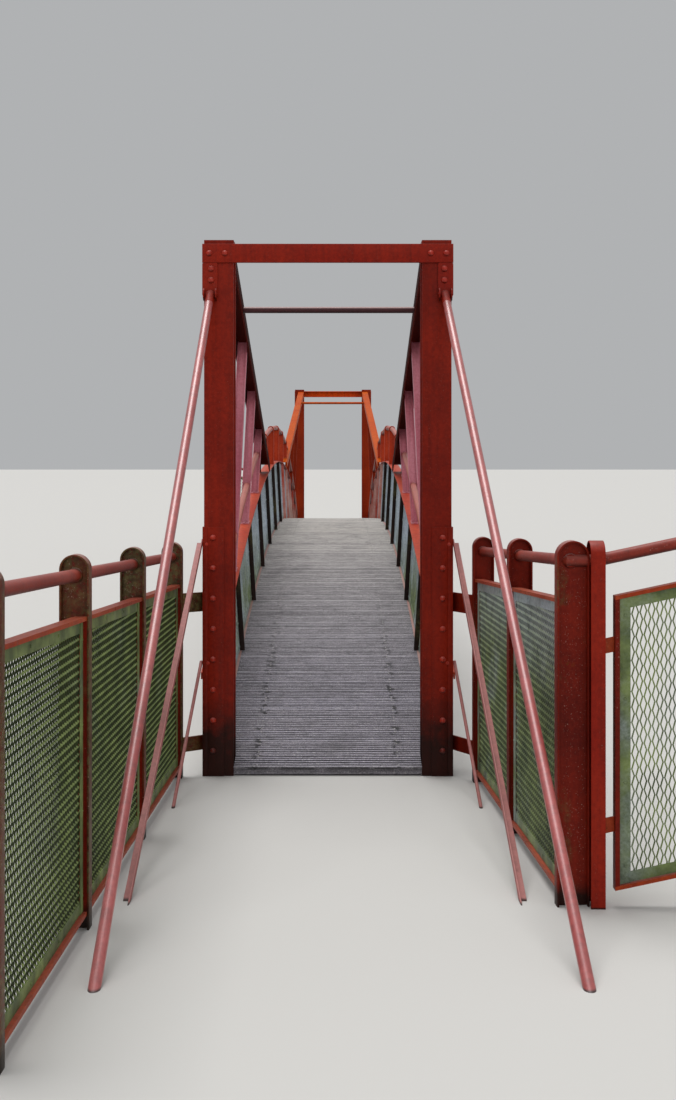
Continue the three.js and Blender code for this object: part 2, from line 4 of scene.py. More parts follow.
import bpy
import numpy as np
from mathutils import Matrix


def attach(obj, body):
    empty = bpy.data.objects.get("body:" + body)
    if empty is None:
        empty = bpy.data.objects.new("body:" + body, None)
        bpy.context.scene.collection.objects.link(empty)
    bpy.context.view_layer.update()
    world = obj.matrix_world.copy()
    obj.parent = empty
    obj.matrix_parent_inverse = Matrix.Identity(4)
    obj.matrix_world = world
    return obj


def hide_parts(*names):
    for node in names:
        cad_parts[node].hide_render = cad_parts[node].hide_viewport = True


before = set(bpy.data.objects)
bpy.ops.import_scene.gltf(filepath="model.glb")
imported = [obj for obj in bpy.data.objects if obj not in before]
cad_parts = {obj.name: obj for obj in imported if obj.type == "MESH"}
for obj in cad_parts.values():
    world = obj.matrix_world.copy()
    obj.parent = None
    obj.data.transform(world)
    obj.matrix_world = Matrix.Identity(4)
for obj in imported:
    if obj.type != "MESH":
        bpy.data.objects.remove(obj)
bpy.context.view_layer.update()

# Lengths are in metres. X runs across the bridge, Y along it and Z up. The near end is at -Y.


# The view: a standing person's eye in the middle of the path, looking level along the bridge. The
# horizon lies 94 pixels above the middle of the frame.

FRAME_HEIGHT, FOCAL_LENGTH = 1100, 1400  # in pixels
SHIFT_X, SHIFT_Y = 2.8, -94  # of the frame from the eye's axis, in pixels
LONG_SIDE = 36.0  # millimetres of film along the frame's long side
lens = bpy.data.cameras.new("eye_level")
lens.sensor_fit = "AUTO"
lens.sensor_width = LONG_SIDE
lens.lens = LONG_SIDE * FOCAL_LENGTH / FRAME_HEIGHT
lens.shift_x = SHIFT_X / FRAME_HEIGHT
lens.shift_y = SHIFT_Y / FRAME_HEIGHT
lens.clip_end = 400
camera = bpy.data.objects.new("eye_level", lens)
camera.location = (0.037, -14.98, 1.6)
camera.rotation_euler = (math.pi / 2, 0, 0)
bpy.context.scene.collection.objects.link(camera)
bpy.context.scene.camera = camera


# The floor: a pale matt studio floor, lit from above by a wide soft sun, from low behind the eye by
# a weaker one, and by the pale walls.

def linear(code):
    """sRGB hex to linear colour: a share over 0.04045 is ((s + 0.055) / 1.055) ** 2.4, else s / 12.92."""
    shares = [int(code[i:i + 2], 16) / 255 for i in (1, 3, 5)]
    return tuple(((s + 0.055) / 1.055) ** 2.4 if s > 0.04045 else s / 12.92 for s in shares) + (1.0,)


def grow(tree, kind, sockets=(), output=0, **settings):
    """Adds a node with its settings. Its sockets, by name or in their order, get a value, a hex
    colour or a link each. Returns the output asked for."""
    made = tree.nodes.new("ShaderNode" + kind)
    for key, value in settings.items():
        setattr(made, key, value)
    for key, value in sockets.items() if isinstance(sockets, dict) else enumerate(sockets):
        if isinstance(value, bpy.types.NodeSocket):
            tree.links.new(value, made.inputs[key])
        else:
            made.inputs[key].default_value = linear(value) if isinstance(value, str) else value
    return made.outputs[output] if made.outputs else None


def blank(name):
    """A new material with its tree emptied, and what adds a node to that tree."""
    made = bpy.data.materials.new(name)
    made.use_nodes = True
    made.node_tree.nodes.clear()
    return made, functools.partial(grow, made.node_tree)


def finished(add, colour, rough, metal=0.0, bump=None, strength=0.3, depth=0.001, coat=0.0, shine=0.5):
    """Ends a material: a Principled shader under a Bump that stands `depth` metres high."""
    sockets = {"Base Color": colour, "Roughness": rough, "Metallic": metal, "Specular IOR Level": shine}
    if coat:
        sockets.update({"Coat Weight": coat, "Coat Roughness": 0.38})
    if bump is not None:
        sockets["Normal"] = add("Bump", {"Height": bump, "Strength": strength, "Distance": depth})
    add("OutputMaterial", {"Surface": add("BsdfPrincipled", sockets)})


studio_floor, add = blank("studio_floor")
finished(add, "#c9c7c3", 0.9)
reach = 150
floor_mesh = bpy.data.meshes.new("studio_floor")
floor_mesh.from_pydata(
    [(-reach, -reach, 0), (reach, -reach, 0), (reach, reach, 0), (-reach, reach, 0)], [], [(0, 1, 2, 3)])
floor_mesh.materials.append(studio_floor)
floor = bpy.data.objects.new("studio_floor", floor_mesh)
bpy.context.scene.collection.objects.link(floor)

world = bpy.data.worlds.new("studio")
world.use_nodes = True
sky = world.node_tree.nodes["Background"].inputs
sky["Color"].default_value, sky["Strength"].default_value = linear("#e6e8ea"), 0.55
bpy.context.scene.world = world
bpy.context.scene.view_settings.view_transform = "Standard"
for name, strength, spread, turn in (
        ("high_sun", 2.2, 34, (math.radians(-10), math.radians(-9), 0)),
        ("low_fill", 0.45, 60, (math.radians(60), 0, math.radians(12)))):
    light = bpy.data.lights.new(name, "SUN")
    light.energy = strength
    light.angle = math.radians(spread)
    lamp = bpy.data.objects.new(name, light)
    lamp.rotation_euler = turn
    bpy.context.scene.collection.objects.link(lamp)


# The legs of the towers: rolled steel I sections 148 mm wide and 160 mm deep, with a welded cap.
# The paint is a brushed red alkyd, darkened by grime and green film at the foot.

CLEAR = 0.0003  # between pieces that touch
LAP = 0.0005  # by which the shells of one piece run into each other
HALF_SPAN = 7.9
LEG_INNER, LEG_OUTER, LEG_TOP = 0.471, 0.619, 2.68
LEG_FRONT, LEG_BACK = -7.98, -7.82
LEG_FLANGE, LEG_WEB, LEG_CAP, LEG_ROUND = 0.012, 0.009, 0.014, 0.003
END = -LEG_BACK - CLEAR  # where all that runs between the towers ends
ENDS = (("near", 1), ("far", -1))
SIDES = (("left", -1), ("right", 1))
CREASE = math.radians(32)  # edges sharper than this are drawn sharp
ARC_POINTS = 3  # on each rounded corner


def rounded(corners, radius):
    """Outline with each corner cut by an arc: the circle of the radius that touches both of its sides."""
    p = np.asarray(corners, float)
    back, on = np.roll(p, 1, 0) - p, np.roll(p, -1, 0) - p
    back_len, on_len = np.linalg.norm(back, axis=1), np.linalg.norm(on, axis=1)
    back, on = back / back_len[:, None], on / on_len[:, None]
    half = np.arccos(np.clip((back * on).sum(1), -1, 1)) / 2
    r = np.minimum(radius, 0.45 * np.minimum(back_len, on_len) * np.tan(half))
    middle = back + on
    centre = p + middle / np.linalg.norm(middle, axis=1)[:, None] * (r / np.sin(half))[:, None]
    start = p + back * (r / np.tan(half))[:, None] - centre
    stop = p + on * (r / np.tan(half))[:, None] - centre
    first = np.arctan2(start[:, 1], start[:, 0])
    sweep = (np.arctan2(stop[:, 1], stop[:, 0]) - first + np.pi) % (2 * np.pi) - np.pi
    turn = first[:, None] + sweep[:, None] * np.linspace(0, 1, ARC_POINTS)
    arc = centre[:, None] + r[:, None, None] * np.stack([np.cos(turn), np.sin(turn)], -1)
    return arc.reshape(-1, 2)


def rectangle(width, height, radius=0.0015):
    """Outline of a bar, centred, with its corners rounded."""
    w, h = width / 2, height / 2
    return rounded([(-w, -h), (w, -h), (w, h), (-w, h)], radius)


def i_outline(width, depth, flange, web, radius=0.002):
    """Outline of an I section: flanges at both ends of its second axis, joined by the web."""
    w, d, t, f = width / 2, depth / 2, web / 2, flange
    return rounded([(-w, -d), (w, -d), (w, f - d), (t, f - d), (t, d - f), (w, d - f),
                    (w, d), (-w, d), (-w, d - f), (-t, d - f), (-t, f - d), (-w, f - d)], radius)


def carried(outline, path, across=(1, 0, 0), first=None, last=None):
    """An outline point (u, v) at path point P lies at P + u*U + v*V. T is the path's direction there,
    U is `across` less its share along T, and V is T x U. The first and the last ring may be slid
    along T onto a level (axis, value)."""
    path, outline, across = (np.asarray(given, float) for given in (path, outline, across))
    t = np.gradient(path, axis=0)
    t /= np.linalg.norm(t, axis=1)[:, None]
    u = across - t * (t @ across)[:, None]
    u /= np.linalg.norm(u, axis=1)[:, None]
    v = np.cross(t, u)
    grid = path[:, None] + outline[None, :, :1] * u[:, None] + outline[None, :, 1:] * v[:, None]
    for ring, plane in ((0, first), (-1, last)):
        if plane:
            axis, level = plane
            grid[ring] += ((level - grid[ring, :, axis]) / t[ring, axis])[:, None] * t[ring]
    return grid


def skin(grid):
    """Quads between neighbouring rings of points, and a flat face over the first and the last ring.
    The grid's last three axes are rings, points round a ring, and xyz. Any before them are copies."""
    rings, around = grid.shape[-3:-1]
    index = np.arange(grid.size // 3).reshape(-1, rings, around)
    beside = np.roll(index, -1, 2)
    quads = np.stack([index[:, :-1], beside[:, :-1], beside[:, 1:], index[:, 1:]], -1).reshape(-1, 4)
    caps = np.concatenate([index[:, 0, ::-1], index[:, -1]])
    return grid.reshape(-1, 3), [quads, caps]


def mapped(shells, scale):
    """The shells with every point multiplied by the scale."""
    return [(points * scale, faces) for points, faces in shells]


def outwards(points, faces):
    """Faces turned so that the volume is positive: a sixth of the sum of a . (b x c) over fans of
    triangles."""
    points = points - points.mean(0)
    volume = 0.0
    for group in faces:
        a = points[group[:, 0]]
        for k in range(1, group.shape[1] - 1):
            volume += np.einsum("ij,ij->", a, np.cross(points[group[:, k]], points[group[:, k + 1]]))
    return [group[:, ::-1] for group in faces] if volume < 0 else faces


def lay(name, shells, finishes, nodes, slot, marks=None):
    """Puts shells of points and faces into one mesh that stands in for CAD nodes. `finishes` is one
    material, or a list with one for each shell."""
    finishes = finishes if isinstance(finishes, list) else [finishes] * len(shells)
    materials = list(dict.fromkeys(finishes))
    points = np.concatenate([own for own, _ in shells])
    loops, sides, slots, base = [], [], [], 0
    for (own, faces), finish in zip(shells, finishes):
        for group in outwards(own, faces):
            loops.append((group + base).ravel())
            sides.append(np.full(len(group), group.shape[1]))
            slots.append(np.full(len(group), materials.index(finish)))
        base += len(own)
    loops, sides, slots = (np.concatenate(each).astype(np.int32) for each in (loops, sides, slots))
    starts = (np.cumsum(sides) - sides).astype(np.int32)
    mesh = bpy.data.meshes.new(name)
    for target, key, values in ((mesh.vertices, "co", points.astype(np.float32)),
                                (mesh.loops, "vertex_index", loops), (mesh.polygons, "loop_start", starts)):
        target.add(len(values))
        target.foreach_set(key, values.ravel())
    mesh.update(calc_edges=True)
    mesh.polygons.foreach_set("material_index", slots)
    mesh.polygons.foreach_set("use_smooth", np.ones(len(starts), bool))
    mesh.set_sharp_from_angle(angle=CREASE)
    for key, values in (marks or {}).items():
        mark = mesh.attributes.new(key, "FLOAT", "POINT")
        mark.data.foreach_set("value", values.astype(np.float32).ravel())
    for material in materials:
        mesh.materials.append(material)
    piece = bpy.data.objects.new(name, mesh)
    bpy.context.scene.collection.objects.link(piece)
    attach(piece, "root")
    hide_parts(*nodes)


def at_both_ends(piece, pair, slot, near, far=None, node=None):
    """Lays the near left and the near right piece, and both again at the far end, half a turn round."""
    for end, turn in ENDS:
        for (hand, _), shells in zip(SIDES[::turn], pair):
            lay(f"{piece}_{end}_{hand}", mapped(shells, (turn, turn, 1)), near if turn > 0 else far or near,
                [f"{end}_{hand}_{node or piece}"], slot)


def at_each_corner(piece, shells, *given):
    """Lays a piece that is made at the near right corner at all four corners of the bridge."""
    at_both_ends(piece, (mapped(shells, (-1, 1, 1)), shells), *given)


def films(add, colour, rows):
    """Lays tones over a colour. A row (value, low, high, least, most, tone) covers it by a share that
    goes from `least` to `most` as the value goes from `low` to `high`."""
    for value, *span, tone in rows:
        colour = add("MixRGB", (add("MapRange", (value, *span)), colour, tone))
    return colour


def paint(name, fresh, faded, rust=0.1, moss=0.0, grime=0.01, roughness=0.42, speckle=0.1, coat=0.0,
          shine=0.18, top_light=0.4, shade=0.0):
    """Brushed alkyd paint on steel. It fades in patches half a metre wide, runs in streaks 29 mm wide,
    rusts in spots of a few millimetres, gets a painted highlight on top by `top_light` and painted shade
    underneath. Its brush marks are drawn 17 mm wide, as finer ones don't show. Grime climbs `grime`
    metres from the floor, and faces that look in over the deck get painted shade by `shade`. A TexNoise
    takes its vector, no W, cells a metre from their size in millimetres, its detail and its roughness."""
    made, add = blank(name)
    at = add("TexCoord", output="Object")
    streaks = add("Mapping", {"Vector": at, "Scale": (1000 / 29, 1000 / 29, 1000 / 770)})
    runs = add("TexNoise", (streaks, 0, 1, 5, 0.6))
    colour = films(add, fresh, [
        (add("TexNoise", (at, 0, 1000 / 455, 4, 0.55)), 0.35, 0.68, 0, 1, faded),
        (runs, 0.42, 0.72, 0, 0.3, "#2e0f0a")])
    mottle = add("TexNoise", (at, 0, 1000 / 17, 6, 0.7))
    grey = films(add, "#000000", [(mottle, 0.3, 0.7, 0, 1, "#ffffff")])
    colour = add("MixRGB", (0.3, colour, grey), blend_type="SOFT_LIGHT")
    rusts = add("TexNoise", (at, 0, 1000 / 59, 9, 0.68))
    rusty = add("MapRange", (rusts, 0.72 - 0.22 * rust, 0.78 - 0.2 * rust))
    tints = add("TexNoise", (at, 0, 1000 / 7, 5, 0.55))
    rust_tone = films(add, "#3a1a0e", [(tints, 0, 1, 0, 1, "#8a4a22")])
    rows = [(rusty, 0, 1, 0, min(1, 0.35 + rust), rust_tone)]
    if moss:
        cushions = add("MapRange", (add("TexNoise", (at, 0, 1000 / 13, 4, 0.55)), 0.3, 0.5, 0, 0.85))
        hanging = add("Mapping", {"Vector": at, "Scale": (1, 1, 0.5)})
        tints = add("TexNoise", (at, 0, 1000 / 25, 5, 0.55))
        moss_tone = films(add, "#332c18", [(tints, 0.35, 0.65, 0, 1, "#66623a")])
        rows.append((add("TexNoise", (hanging, 0, 1000 / 222, 6, 0.6)),
                     0.62 - 0.3 * moss, 0.72 - 0.16 * moss, 0, cushions, moss_tone))
    chips = add("TexNoise", (at, 0, 1000 / 6, 3, 0.6))
    chipped = add("MapRange", (runs, 0.44, 0.62, 0, speckle))
    facing = add("NewGeometry", output="Normal")
    up = add("SeparateXYZ", (facing,), "Z")
    outwards_x = add("Math", (add("SeparateXYZ", (at,), "X"), add("SeparateXYZ", (facing,), "X")),
                     operation="MULTIPLY")
    low = add("MapRange", (add("SeparateXYZ", (at,), "Z"), grime, 0))
    soiled = add("Math", (low, add("TexNoise", (at, 0, 1000 / 111, 6, 0.55))))
    # Over the chips lie a painted highlight on tops, painted shade on undersides and on faces that look in
    # over the deck, then grime from the floor.
    colour = films(add, colour, rows + [
        (chips, 0.64, 0.68, 0, chipped, "#c9a596"),
        (up, 0.25, 0.95, 0, top_light, "#d3aaa4"),
        (up, -0.15, -0.8, 0, 0.7, "#1c0a08"),
        (outwards_x, -0.1, -0.3, 0, shade, "#140a09"),
        (soiled, 0.62, 1.15, 0, 0.9, "#15120e")])
    rough = add("MapRange", (mottle, 0.2, 0.8, roughness - 0.06, roughness + 0.1))
    rough = add("Math", (rusty, 0.35, rough), operation="MULTIPLY_ADD")
    finished(add, colour, rough, 0, add("Math", (mottle, rusty)), 0.25, 0.0012, coat, shine)
    return made


# The near tower's is deep red and almost matt. The far tower's is the same paint, painted more orange
# for the warmer light on it, and clear orange where it lies in full light: painted light.
near_paint = paint("brushed_red_alkyd", "#7a1808", "#96230f", rust=0.08, grime=0.5, speckle=0.25,
                   shine=0.12, top_light=0.2)
far_paint = paint("shaded_orange_red_alkyd", "#84220a", "#9c3210", rust=0.08, grime=0.5, speckle=0.2,
                  shine=0.06, top_light=0.05)
sunlit_paint = paint("sunlit_orange_alkyd", "#be4804", "#ca580a", rust=0.04, speckle=0.2,
                     shine=0.06, top_light=0.0)
leg_at = ((LEG_INNER + LEG_OUTER) / 2, (LEG_FRONT + LEG_BACK) / 2)
leg_size = (LEG_OUTER - LEG_INNER, LEG_BACK - LEG_FRONT)
under_cap = LEG_TOP - LEG_CAP
leg_outline = i_outline(*leg_size, LEG_FLANGE, LEG_WEB, LEG_ROUND)
leg_shells = [
    skin(carried(leg_outline, [(*leg_at, 0), (*leg_at, under_cap)])),
    skin(carried(rectangle(*leg_size, LEG_ROUND), [(*leg_at, under_cap - LAP), (*leg_at, LEG_TOP)])),
]
at_each_corner("tower_leg", leg_shells, "red_paint", near_paint, far_paint, "leg")


# The leg angles: a 7 mm steel angle that laps the outer front edge of each leg up to 1.245 m. It is
# held by eight snap-headed rivets, and two small bolts pin the stays behind it.

ANGLE_LEAF, ANGLE_WRAP, ANGLE_THICK, ANGLE_TOP = 0.101, 0.070, 0.007, 1.245
SEAM, SEAM_HALF, SEAM_DEEP, SEAM_STEP = 0.5995, 0.0015, 0.003, 0.0008  # a strip laps the leaf there
RIVETS, RIVET_X, RIVET_FOOT, RIVET_PITCH = 8, 0.5735, 0.127, 0.152
ANGLE_RIVET = 0.0155, 0.0145  # a head's radius and height
ANGLE_BOLTS = ((0.606, 1.159), (0.598, 0.566))
TO_PATH = (0, -1, 0)

# The alkyd on rivet heads is painted brighter than round them, a painted highlight, and is glossier.
rivet_paint = paint("highlit_red_alkyd", "#a82410", "#bc3018", rust=0.04, grime=0.3, roughness=0.35,
                    shine=0.35, top_light=0.2)


def revolved(base, axis, stations, sides=16):
    """Rings about an axis: a station (d, r) is a circle of radius r at base + d * axis."""
    axis = np.asarray(axis, float) / np.linalg.norm(axis)
    u = np.cross(axis, (0, 0, 1) if abs(axis[2]) < 0.9 else (1, 0, 0))
    u /= np.linalg.norm(u)
    turn = 2 * np.pi * (np.arange(sides) + 0.5) / sides
    ring = np.cos(turn)[:, None] * u + np.sin(turn)[:, None] * np.cross(axis, u)
    stations = np.asarray(stations, float)
    return skin(np.asarray(base, float) + stations[:, :1, None] * axis + stations[:, 1:, None] * ring)


def rivet(base, axis, radius, height):
    """A snap head: at angle a the ring has radius R cos a and stands H sin a proud."""
    a = np.radians([0, 0, 22, 45, 66, 84])
    out = height * np.sin(a)
    out[0] = -0.002
    return revolved(base, axis, np.column_stack([out, radius * np.cos(a)]))


def bolt(base, axis, radius=0.009, height=0.007):
    """A hexagon head on a round washer."""
    washer = revolved(base, axis, [(-0.001, 1.5 * radius), (0.0022, 1.5 * radius), (0.0026, 1.4 * radius)])
    head = revolved(base, axis, [(0.002, radius), (height * 0.85, radius), (height, radius * 0.85)], 6)
    return [washer, head]


front = LEG_FRONT - CLEAR
face = front - ANGLE_THICK
edge = LEG_OUTER + CLEAR
angle_outline = rounded([
    (LEG_OUTER - ANGLE_LEAF, front), (LEG_OUTER - ANGLE_LEAF, face), (SEAM - SEAM_HALF, face),
    (SEAM, face + SEAM_DEEP), (SEAM + SEAM_HALF, face + SEAM_STEP), (edge + ANGLE_THICK, face + SEAM_STEP),
    (edge + ANGLE_THICK, front + ANGLE_WRAP), (edge, front + ANGLE_WRAP), (edge, front)], 0.0015)
angle_shells = [skin(carried(angle_outline, [(0, 0, 0), (0, 0, ANGLE_TOP)]))]
for k in range(RIVETS):
    angle_shells.append(rivet((RIVET_X, face, RIVET_FOOT + k * RIVET_PITCH), TO_PATH, *ANGLE_RIVET))
for x, z in ANGLE_BOLTS:
    angle_shells += bolt((x, face, z), TO_PATH, 0.006, 0.006)
at_each_corner("leg_angle", angle_shells, "red_paint",
               [near_paint] + [rivet_paint] * (len(angle_shells) - 1), far_paint)


# The crossbeams: a steel angle 95 mm high across the front of each tower, its top leaf let in
# between the legs. Two snap-headed rivets hold each end.

BEAM_START, CROSS_HEIGHT, CROSS_THICK, CROSS_LEAF = 2.66, 0.095, 0.012, 0.07
CROSS_END = LEG_OUTER + 0.008
CROSS_RIVETS, CROSS_RIVET_Z, CROSS_RIVET = (-0.592, -0.514, 0.514, 0.592), 2.612, (0.0155, 0.013)

# The near one's alkyd is a brighter red than the legs', and the far one's is painted a bright orange red for
# the full light on it: painted light.
cross_paint = paint("brushed_bright_red_alkyd", "#881a0a", "#9a2510", rust=0.05, speckle=0.2,
                    shine=0.12, top_light=0.15)
sunlit_cross_paint = paint("orange_red_alkyd", "#d8430a", "#e0500c", rust=0.04, speckle=0.2,
                     shine=0.06, top_light=0.05)
upright = carried(rectangle(CROSS_THICK, CROSS_HEIGHT, 0.003),
                  [(-CROSS_END, 0, 0), (CROSS_END, 0, 0)], (0, 1, 0))
upright += (0, front - CROSS_THICK / 2, BEAM_START - CROSS_HEIGHT / 2)
leaf_half = LEG_INNER - CLEAR
leaf = carried(rectangle(CROSS_LEAF, CROSS_THICK, 0.002), [(-leaf_half, 0, 0), (leaf_half, 0, 0)], (0, 1, 0))
leaf += (0, front - 2 * LAP + CROSS_LEAF / 2, BEAM_START - CROSS_THICK / 2 - LAP)
cross_shells = [skin(upright), skin(leaf)]
for x in CROSS_RIVETS:
    cross_shells.append(rivet((x, front - CROSS_THICK, CROSS_RIVET_Z), TO_PATH, *CROSS_RIVET))
near_finishes = [cross_paint] * 2 + [rivet_paint] * len(CROSS_RIVETS)
for end, turn in ENDS:
    lay(f"crossbeam_{end}", mapped(cross_shells, (1, turn, 1)), near_finishes if turn > 0 else sunlit_cross_paint,
        [f"{end}_crossbeam"], "red_paint")


# The stay brackets: a steel plate under each end of the crossbeam, held by two large rivets. Two
# cheeks stand out from its foot, and a pin through them holds the forged eye of the main stay.

BRACKET_WIDTH, BRACKET_HEIGHT, BRACKET_THICK = 0.076, 0.165, 0.010
BRACKET_RIVETS, BRACKET_RIVET = ((0.5825, 2.535), (0.5825, 2.478)), (0.0165, 0.013)
CHEEK = np.array([(0, -0.032), (0.022, -0.030), (0.040, -0.018), (0.046, 0),
                  (0.040, 0.018), (0.022, 0.030), (0, 0.032)])  # out from the plate, and up from the pin
CHEEK_X, CHEEK_THICK = 0.030, 0.007
STAY_TOP, STAY_RUN, EYE_BACK = np.array([0.588, LEG_FRONT - 0.030, 2.385]), 2.8, 0.032
EYE_REACH = 0.045  # from the stay's top down to where its tube starts
PIN = (0, 0.006), (0.002, 0.010), (0.074, 0.010), (0.076, 0.006)
EYE = ((-0.020, 0.012), (-0.016, 0.019), (-0.006, 0.0245), (0.010, 0.0255), (0.026, 0.0245), (0.048, 0.0215),
       (EYE_BACK + EYE_REACH - LAP, 0.0205), (EYE_BACK + EYE_REACH, 0.020))
STAY_FEET = 0.686, 0.800  # the left foot's X and the right one's
bracket_top = BEAM_START - CROSS_HEIGHT - CLEAR
bracket_at = np.array([CROSS_END - BRACKET_WIDTH / 2, front, bracket_top - BRACKET_HEIGHT / 2])
bracket_face = front - BRACKET_THICK


def both_feet(make):
    """The left and the right one of what is made on the right for the foot of a main stay."""
    return mapped(make(STAY_FEET[0]), (-1, 1, 1)), make(STAY_FEET[1])


def stay_way(foot_x):
    """The way a main stay on the right runs down to its foot, as a unit vector."""
    way = (foot_x, LEG_FRONT - STAY_RUN, 0) - STAY_TOP
    return way / np.linalg.norm(way)


def bracket(foot_x):
    """The plate, its rivets, the cheeks, the pin and the eye of a bracket on the right."""
    way = stay_way(foot_x)
    eye = STAY_TOP - EYE_BACK * way
    shells = [skin(carried(rectangle(BRACKET_WIDTH, BRACKET_HEIGHT, 0.006),
                           [bracket_at, bracket_at - (0, BRACKET_THICK, 0)]))]
    for x, z in BRACKET_RIVETS:
        shells.append(rivet((x, bracket_face, z), TO_PATH, *BRACKET_RIVET))
    for x in (-CHEEK_X, CHEEK_X):
        middle = np.column_stack([np.full(len(CHEEK), eye[0] + x), bracket_face + 2 * LAP - CHEEK[:, 0],
                                  eye[2] + CHEEK[:, 1]])
        half = np.array([CHEEK_THICK / 2, 0, 0])
        shells.append(skin(np.stack([middle - half, middle + half])))
    shells.append(revolved(eye - (PIN[-1][0] / 2, 0, 0), (1, 0, 0), PIN))
    shells.append(revolved(eye, way, EYE, 24))
    return shells


at_both_ends("stay_bracket", both_feet(bracket), "red_paint",
             [cross_paint] + [rivet_paint] * len(BRACKET_RIVETS) + [cross_paint] * 4, far_paint)


# The main stays: steel tubes 40 mm thick, from the brackets down to the ground beside the path. Each
# starts at the shank of its bracket's eye.

STAY_RADIUS = 0.020

# The stays' alkyd is chalky and pinker than the towers', and still glossy along the top.
stay_paint = paint("chalky_red_alkyd", "#9e3836", "#bc5c5a", rust=0.06,
                   roughness=0.38, speckle=0.25, coat=1.0, shine=0.6, top_light=0.1)


def circle(radius, sides=20):
    """Outline of a round bar."""
    turn = 2 * np.pi * (np.arange(sides) + 0.5) / sides
    return radius * np.column_stack([np.cos(turn), np.sin(turn)])


def main_stay(foot_x):
    """The tube of a main stay on the right."""
    path = np.linspace(STAY_TOP + (EYE_REACH + CLEAR) * stay_way(foot_x),
                       (foot_x, LEG_FRONT - STAY_RUN, 0), 12)
    return [skin(carried(circle(STAY_RADIUS), path, last=(2, 0)))]


at_both_ends("main_stay", both_feet(main_stay), "stay_paint", stay_paint)


# The middle stays: 29 mm rolled steel angles. Each is bolted to the side of a leg angle 1.16 m up,
# and set in the ground two metres before the tower.

MIDDLE_LEG, MIDDLE_THICK = 0.029, 0.005
MIDDLE_TOP, MIDDLE_FOOT, MIDDLE_RUN = 1.160, 0.697, 1.960
BEHIND_FRONT = 0.020  # where the thin stays meet the side of the leg
angle_side = LEG_OUTER + 2 * CLEAR + ANGLE_THICK

# The thin stays' alkyd is as chalky, and dull all round.
thin_paint = paint("dull_chalky_red_alkyd", "#9c5450", "#b26c68", rust=0.08,
                   roughness=0.5, speckle=0.4, shine=0.3, top_light=0.25)
middle_outline = rounded([(0, 0), (MIDDLE_LEG, 0), (MIDDLE_LEG, MIDDLE_THICK), (MIDDLE_THICK, MIDDLE_THICK),
                          (MIDDLE_THICK, MIDDLE_LEG), (0, MIDDLE_LEG)], 0.0015)
middle_stay = carried(middle_outline, np.linspace(
    (angle_side, LEG_FRONT + BEHIND_FRONT, MIDDLE_TOP),
    (MIDDLE_FOOT, LEG_FRONT - MIDDLE_RUN, 0), 8), last=(2, 0))
at_each_corner("middle_stay", [skin(middle_stay)], "stay_paint", thin_paint)


# The short stays: 16 mm round steel rods. Each is hooked into a leg angle a little over half a metre
# up, and set in the ground close by.

SHORT_RADIUS, SHORT_TOP, SHORT_FOOT, SHORT_RUN = 0.008, 0.570, 0.700, 0.636
short_stay = carried(circle(SHORT_RADIUS, 12), np.linspace(
    (angle_side + SHORT_RADIUS, LEG_FRONT + BEHIND_FRONT, SHORT_TOP),
    (SHORT_FOOT, LEG_FRONT - SHORT_RUN, 0), 6), last=(2, 0))
at_each_corner("short_stay", [skin(short_stay)], "stay_paint", thin_paint)


# The suspension beams: steel channels, open below, that run straight down from the tops of the
# towers to the top rails. I section hangers are welded up inside them and stand on the rails on
# bolted foot plates.

RAIL_INNER, RAIL_WIDTH, RAIL_THICK, RAIL_LIP = 0.562, 0.088, 0.008, 0.034
BEAM_WIDTH, BEAM_DEPTH, BEAM_PLATE, BEAM_SLOPE, BEAM_REACH = 0.090, 0.100, 0.008, 0.2, 5.65
BEAM_AT_TOWER, BEAM_AT_RAIL = 0.518, 0.600
INNER_LIP = 0.024  # the channel's inner wall is this much shallower than the outer one
PITCH = 1.24  # of the posts and the hangers along the span
HANGERS, HANGER_FOOT, HANGER_OUTLINE = (3, 4, 5), 0.612, (0.046, 0.060, 0.006, 0.005)
RUN_ON = 0.020  # a hanger's length past both ends, which is then cut to the rail and the beam
FOOT_WIDE, FOOT_THICK, FOOT_HALF, FOOT_BOLT = 0.068, 0.006, 0.045, 0.036
HANDRAIL_X, TUBE_RADIUS = 0.595, 0.022


def rail_top(y):
    """The top rail's height: a parabola, 1.545 m at mid-span and 1.073 m less at the towers."""
    return 1.545 - 1.073 * (y / HALF_SPAN) ** 2


def handrail_line(y):
    """The handrail's height at its middle: a parabola, 1.895 m at mid-span and 1.279 m less at the
    towers."""
    return 1.895 - 1.279 * (y / HALF_SPAN) ** 2


def beam_top(y):
    """The beam's top face falls by 0.2 from the tower."""
    return BEAM_START - BEAM_SLOPE * (HALF_SPAN - np.abs(y))


def beam_at(y):
    """The middle of the beam's section: it falls and draws outwards evenly from the tower to the rail."""
    share = (HALF_SPAN - np.abs(y)) / BEAM_REACH
    plumb_half = BEAM_DEPTH / 2 * math.hypot(1, BEAM_SLOPE)
    x = BEAM_AT_TOWER + share * (BEAM_AT_RAIL - BEAM_AT_TOWER)
    return np.stack(np.broadcast_arrays(x, y, beam_top(y) - plumb_half), -1)


def collars(x, y, z, way, reach=0.010):
    """Welded rings round the tube on both sides of a web."""
    stations = (0.001, 0.027), (reach * 0.6, 0.0265), (reach, 0.024), (reach, TUBE_RADIUS - 0.002)
    return [revolved((x, y, z), np.asarray(way, float) * sign, stations) for sign in (-1, 1)]
